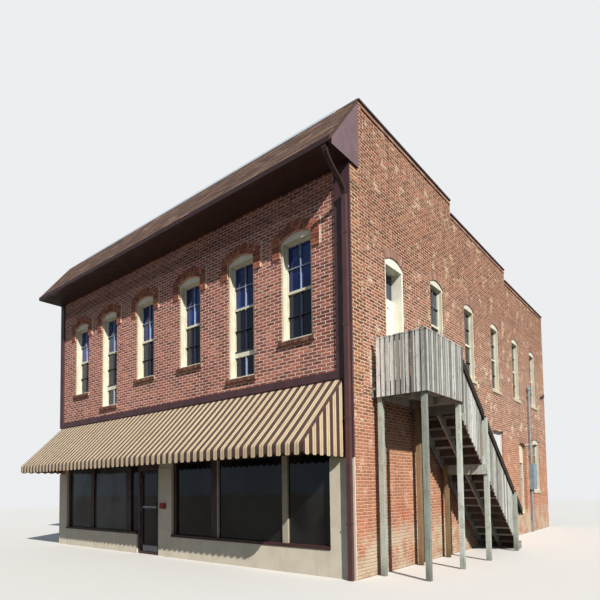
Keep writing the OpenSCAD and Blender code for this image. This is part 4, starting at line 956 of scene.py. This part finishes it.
def buildAwning():
    low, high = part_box("awning_canopy")
    left, right, front = low.x + awning["edge"], high.x - awning["edge"], low.y + awning["edge"]
    slopeAngle = math.atan2(high.z - awning["low"], high.y - low.y)
    hem = low.z + 0.002

    def turnPoint(angle):
        reach, lift = awning["turn"] * (1 - math.cos(angle)), awning["turn"] * math.sin(angle)
        return (front + reach, awning["low"] + lift)

    top = (high.y - 0.002, high.z - 0.006)
    bend = math.pi / 2 - slopeAngle
    turnEnd = turnPoint(bend)
    profile = []  # y and z of points down the cloth
    for k in range(awning["slopeSteps"] + 1):
        t = k / awning["slopeSteps"]
        profile.append((top[0] + (turnEnd[0] - top[0]) * t, top[1] + (turnEnd[1] - top[1]) * t))
    for k in range(1, awning["turnSteps"] + 1):
        profile.append(turnPoint(bend * (1 - k / awning["turnSteps"])))
    slope = list(profile)
    for k in range(1, awning["valanceSteps"] + 1):
        profile.append((front, awning["low"] + (hem - awning["low"]) * k / awning["valanceSteps"]))

    width = high.x - low.x - 2 * awning["edge"]
    steps = round(width / awning["scallop"]) * awning["perScallop"]
    bm = bmesh.new()
    chain = [bm.verts.new((left, y, z)) for y, z in profile]
    wires = [bm.edges.new(pair) for pair in zip(chain, chain[1:])]
    bmesh.ops.spin(bm, geom=chain + wires, cent=(0, 0, 0), axis=(0, 0, 1), dvec=(width / steps, 0, 0),
                   angle=0.0, steps=steps, use_duplicate=False)
    for side in (left, right):  # the closed ends, hung from the sloping edge
        lower = [bm.verts.new((side, y, hem)) for y, z in slope]
        rim = [bm.edges.new(pair) for pair in zip(lower, lower[1:])]
        raised = bmesh.ops.extrude_edge_only(bm, edges=rim)
        for vert in (v for v in raised["geom"] if isinstance(v, bmesh.types.BMVert)):
            vert.co.z = min(slope, key=lambda point: abs(point[0] - vert.co.y))[1]
    bmesh.ops.remove_doubles(bm, verts=bm.verts, dist=0.0015)
    for vert in bm.verts:  # a slight sag between the rafters
        fall = (high.z - vert.co.z) / (high.z - awning["low"])
        if left + 0.01 < vert.co.x < right - 0.01 and fall < 1:
            bay = (vert.co.x - low.x) / (high.x - low.x) * awning["bays"] % 1.0
            vert.co.z -= awning["sag"] * math.sin(math.pi * bay) * math.sin(math.pi * max(0.0, fall))
    for vert in bm.verts:  # scallops along the lower edge
        if abs(vert.co.z - hem) < 0.0005:
            onFront = left + 0.001 < vert.co.x < right - 0.001
            run = vert.co.x - left if onFront else vert.co.y - front
            t = abs(run / awning["scallop"] % 1.0 * 2 - 1) ** awning["scallopPower"]
            vert.co.z += awning["scallopDepth"] * (1 - math.sqrt(max(0.0, 1 - t)))
    bmesh.ops.recalc_face_normals(bm, faces=bm.faces)
    print("cloth area", round(sum(face.calc_area() for face in bm.faces), 2))
    uv = bm.loops.layers.uv.new("cloth")
    for face in bm.faces:
        face.smooth = True
        endPanel = abs(face.normal.x) > 0.9
        for loop in face.loops:
            co = loop.vert.co
            if co.z > awning["low"]:
                fall = (high.z - co.z) / math.sin(slopeAngle)
            else:
                fall = awning["slopeLength"] + awning["low"] - co.z
            loop[uv].uv = (co.y - front if endPanel else co.x - left, fall)
    cloth = finishPiece("awningCloth", bm, "awningCloth", replaced=("awning_canopy",))
    body = cloth.modifiers.new("clothThickness", "SOLIDIFY")
    body.thickness = awning["thick"]
    body.offset = -1.0
    seams = cloth.modifiers.new("seams", "EDGE_SPLIT")
    seams.split_angle = math.radians(50)


buildAwning()
print("awning cloth stretched")


# Riser boards of the outside stair

flight = dict(top=3.51, riser=0.195, going=0.235, steps=17, plank=0.038, thick=0.018, inset=0.042,
    gap=0.002)


def buildRisers():
    bm = bmesh.new()
    low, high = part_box("stair_treads")
    x0, x1 = rightX + flight["inset"], high.x - flight["gap"]
    for i in range(1, flight["steps"] + 1):
        y = low.y + i * flight["going"] + flight["thick"] / 2 + 0.0005
        bottom = max(flight["gap"], flight["top"] - (i + 1) * flight["riser"])
        top = flight["top"] - i * flight["riser"] - flight["plank"]
        extent = (x1 - x0, flight["thick"], top - bottom - flight["gap"])
        addBlock(bm, extent, ((x0 + x1) / 2, y, (top + bottom) / 2))
    finishPiece("stairRisers", bm, "riserTimber")


buildRisers()
print("stair risers fitted")


# The course of bricks that stands out under the side wall's coping: start, end and top of each run

brickLedge = dict(runs=[(0.42, 4.72, 9.03), (4.76, 9.15, 8.685), (9.19, 13.86, 8.34)], down=0.05, out=0.022,
    bedded=0.02, course=0.062, length=0.202, joint=0.01)


def buildBrickLedge():
    bm = startBricks()
    x = rightX + brickLedge["out"] / 2 - brickLedge["bedded"] / 2
    for start, end, top in brickLedge["runs"]:
        count = round((end - start) / (brickLedge["length"] + brickLedge["joint"]))
        pitch = (end - start) / count
        extent = (brickLedge["out"] + brickLedge["bedded"], pitch - brickLedge["joint"], brickLedge["course"])
        z = top - brickLedge["down"] - brickLedge["course"] / 2
        for k in range(count):
            addBlock(bm, extent, (x, frontY + start + (k + 0.5) * pitch, z), tone=rng.random())
    finishPiece("ledgeBricks", bm, "archBrick", edge=0.003)


buildBrickLedge()
print("brick ledge laid")


# Small fittings

plate = dict(width=0.082, height=0.40, thick=0.004, z=1.69, pin=0.012, pinUp=0.17, post=0.089, board=0.038,
    postEnd=0.60 + 1.72)


def buildPlate():
    # The bare plate on the far landing post, held by two pins
    bm = bmesh.new()
    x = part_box("landing_deck")[1].x - plate["board"] - plate["post"] / 2
    y = frontY + plate["postEnd"] - plate["board"] - plate["post"]
    addBlock(bm, (plate["width"], plate["thick"], plate["height"]), (x, y - 0.002, plate["z"]))
    for side in (1, -1):
        centre = (x, y - 0.005, plate["z"] + side * plate["pinUp"])
        addBlock(bm, (plate["pin"], plate["thick"], plate["pin"]), centre)
    finishPiece("postPlate", bm, "whiteMetal", edge=0.001)


redBox = dict(size=(0.21, 0.05, 0.14), fromDoor=0.11, out=0.025, z=1.25, lid=(0.8, 0.006, 0.7))


def buildRedBox():
    # The small red box on the pier beside the shop door
    bm = bmesh.new()
    width, depth, height = redBox["size"]
    lidWide, lidThick, lidTall = redBox["lid"]
    x, face = doorRight + redBox["fromDoor"] + width / 2, frontY - redBox["out"]
    addBlock(bm, redBox["size"], (x, face - depth / 2, redBox["z"]))
    lidCentre = (x, face - depth - lidThick / 2, redBox["z"])
    addBlock(bm, (width * lidWide, lidThick, height * lidTall), lidCentre)
    finishPiece("redBox", bm, "redPaint", edge=0.004)


straps = dict(heights=(1.0, 2.9, 4.6, 6.3), fromEnd=0.075, band=(0.13, 0.004, 0.04), bandOut=0.122,
    cheek=(0.004, 0.08, 0.04), cheekOut=0.08, half=0.047)
clips = dict(heights=(0.5, 2.7, 3.7, 4.8), size=(0.07, 0.14, 0.03), fromRear=2.53)


def buildStraps():
    # Straps that hold the downspout, and the conduit's clips
    bm = bmesh.new()
    x = rightX - straps["fromEnd"]
    for z in straps["heights"]:
        addBlock(bm, straps["band"], (x, frontY - straps["bandOut"], z))
        for side in (-1, 1):
            addBlock(bm, straps["cheek"], (x + side * straps["half"], frontY - straps["cheekOut"], z))
    finishPiece("pipeStraps", bm, "brownMetal", edge=0.001)

    bm = bmesh.new()
    for z in clips["heights"]:
        addBlock(bm, clips["size"], (rightX + clips["size"][0] / 2, rearY - clips["fromRear"], z))
    finishPiece("conduitClips", bm, "meterMetal", edge=0.002)


thinPipe = dict(out=0.02, start=(10.88, 3.04), end=(12.02, 3.12), radius=0.012, holders=(0.06, 0.5, 0.94),
    holder=(0.034, 0.02, 0.05))


def buildThinPipe():
    # Between the side door's head and the rear window's head
    bm = bmesh.new()
    start, end = [Vector((rightX + thinPipe["out"], frontY + thinPipe[at][0], thinPipe[at][1]))
                  for at in ("start", "end")]
    run = end - start
    turn = Vector((0, 0, 1)).rotation_difference(run).to_matrix().to_4x4()
    addCone(bm, thinPipe["radius"], thinPipe["radius"], run.length, (start + end) / 2, turn)
    for t in thinPipe["holders"]:
        addBlock(bm, thinPipe["holder"], start + run * t - Vector((0.004, 0, 0)))
    finishPiece("wallPipe", bm, "whiteMetal")


bracket = dict(y=13.25, z=5.06, tilt=0.32, bar=(0.03, 0.42, 0.05), pitch=0.15, rise=0.05, out=0.06,
    discs=((0.035, 0.0), (0.026, 0.04), (0.035, 0.08)), disc=0.034, arm=(0.06, 0.02, 0.02))


def buildBracket():
    # Iron bracket with its insulators near the rear corner
    bm = bmesh.new()
    y = frontY + bracket["y"]
    barCentre = (rightX + bracket["bar"][0] / 2, y + bracket["pitch"], bracket["z"])
    addBlock(bm, bracket["bar"], barCentre, Matrix.Rotation(bracket["tilt"], 4, "X"))
    for k in range(3):
        z = bracket["z"] + (k - 1) * bracket["rise"]
        centre = Vector((rightX + bracket["out"], y + k * bracket["pitch"], z))
        for radius, lift in bracket["discs"]:
            raised = centre + Vector((0.0, 0.0, lift - 0.04))
            addCone(bm, radius, radius * 0.8, bracket["disc"], raised)
        addBlock(bm, bracket["arm"], centre - Vector((0.03, 0, 0.03)))
    finishPiece("wireBracket", bm, "blackIron")


buildPlate()
buildRedBox()
buildStraps()
buildThinPipe()
buildBracket()
print("fittings placed")

# A small bevel on sawn and painted edges
softEdges = {
    0.002: ["awning_rafters", "shop_door", "side_door"],
    0.003: ["landing_guard", "stair_guard", "front_window_frames", "side_window_frames", "shopfront_frames",
            "boarded_window", "upper_side_door", "shop_door_frame", "stair_stringers"],
    0.004: ["landing_deck", "corner_boards", "gutter_and_downspout"],
    0.005: ["stair_handrails", "stair_treads"],
    0.006: ["stair_posts", "parapet_coping"],
    0.008: ["side_sills"]}
for width, names in softEdges.items():
    for name in names:
        soften(nodes[name], width).angle_limit = math.radians(50)


# Floor, light and camera

studio = dict(floor=(222, 220, 216), backdrop=(236, 238, 240), radius=160.0, fadeFrom=26.0, fadeTo=60.0,
    bounce=(112, 107, 100), sideBounce=(60, 57, 50), fill=0.34, fillColour=(0.68, 0.83, 1.0, 1.0),
    sunTravel=(-0.7206, 0.3515, -0.5976), sunStrength=4.9, sunAngle=0.5, sunColour=(1.0, 0.96, 0.9))


def blendShaders(factor, first, second, surface):
    made = startNode("MixShader", factor)
    for socket, term in zip(made.inputs, (factor, first, second)):
        feed(socket, term)
    feed(surface, made.outputs[0])


def buildFloor():
    tree, shader = startMaterial("paleFloor")
    where = objectPlace(tree)
    seen = tree.nodes.new("ShaderNodeLightPath").outputs["Is Camera Ray"]
    beside = over(split(where)[0], rightX)
    thrown = mixColour(beside, studio["bounce"], studio["sideBounce"])
    feed(shader.inputs["Base Color"], mixColour(seen, thrown, studio["floor"]))
    shader.inputs["Roughness"].default_value = 0.9
    glow = tree.nodes.new("ShaderNodeEmission")
    glow.inputs["Color"].default_value = tint(studio["backdrop"])
    reach = tree.nodes.new("ShaderNodeVectorMath")
    reach.operation = "LENGTH"
    feed(reach.inputs[0], where)
    fade = remap(reach.outputs["Value"], studio["fadeFrom"], studio["fadeTo"])
    surface = tree.nodes["Material Output"].inputs["Surface"]
    blendShaders(times(fade, seen), shader.outputs[0], glow.outputs[0], surface)
    bm = bmesh.new()
    bmesh.ops.create_circle(bm, cap_ends=True, segments=96, radius=studio["radius"])
    floor = addMesh("floor", bm, "paleFloor")


def buildLight():
    scene.world = bpy.data.worlds.new("studio")
    scene.world.use_nodes = True
    tree = scene.world.node_tree
    tree.nodes.clear()
    out = tree.nodes.new("ShaderNodeOutputWorld")
    light = tree.nodes.new("ShaderNodeBackground")
    light.inputs["Color"].default_value = studio["fillColour"]
    light.inputs["Strength"].default_value = studio["fill"]
    backdrop = tree.nodes.new("ShaderNodeBackground")
    backdrop.inputs["Color"].default_value = tint(studio["backdrop"])
    seen = tree.nodes.new("ShaderNodeLightPath").outputs["Is Camera Ray"]
    blendShaders(seen, light.outputs[0], backdrop.outputs[0], out.inputs["Surface"])

    sun = bpy.data.lights.new("key", "SUN")
    sun.energy = studio["sunStrength"]
    sun.angle = math.radians(studio["sunAngle"])
    sun.color = studio["sunColour"]
    key = addObject("key", sun)
    key.rotation_mode = "QUATERNION"
    key.rotation_quaternion = Vector(studio["sunTravel"]).to_track_quat("-Z", "Y")


view = dict(place=(10.4010, -14.4630, 1.6433), turn=(93.0116, 0.77119, 39.1279), lens=29.8566, sensor=36.0,
    shiftY=0.27, clipEnd=500.0)


def buildCamera():
    lens = bpy.data.cameras.new("camera")
    lens.lens = view["lens"]
    lens.sensor_width = view["sensor"]
    lens.shift_y = view["shiftY"]
    lens.clip_end = view["clipEnd"]
    camera = addObject("camera", lens)
    camera.location = view["place"]
    camera.rotation_euler = [math.radians(angle) for angle in view["turn"]]
    scene.camera = camera


buildFloor()
buildLight()
buildCamera()
scene.view_settings.view_transform = "Standard"

print("stage, light and camera set")
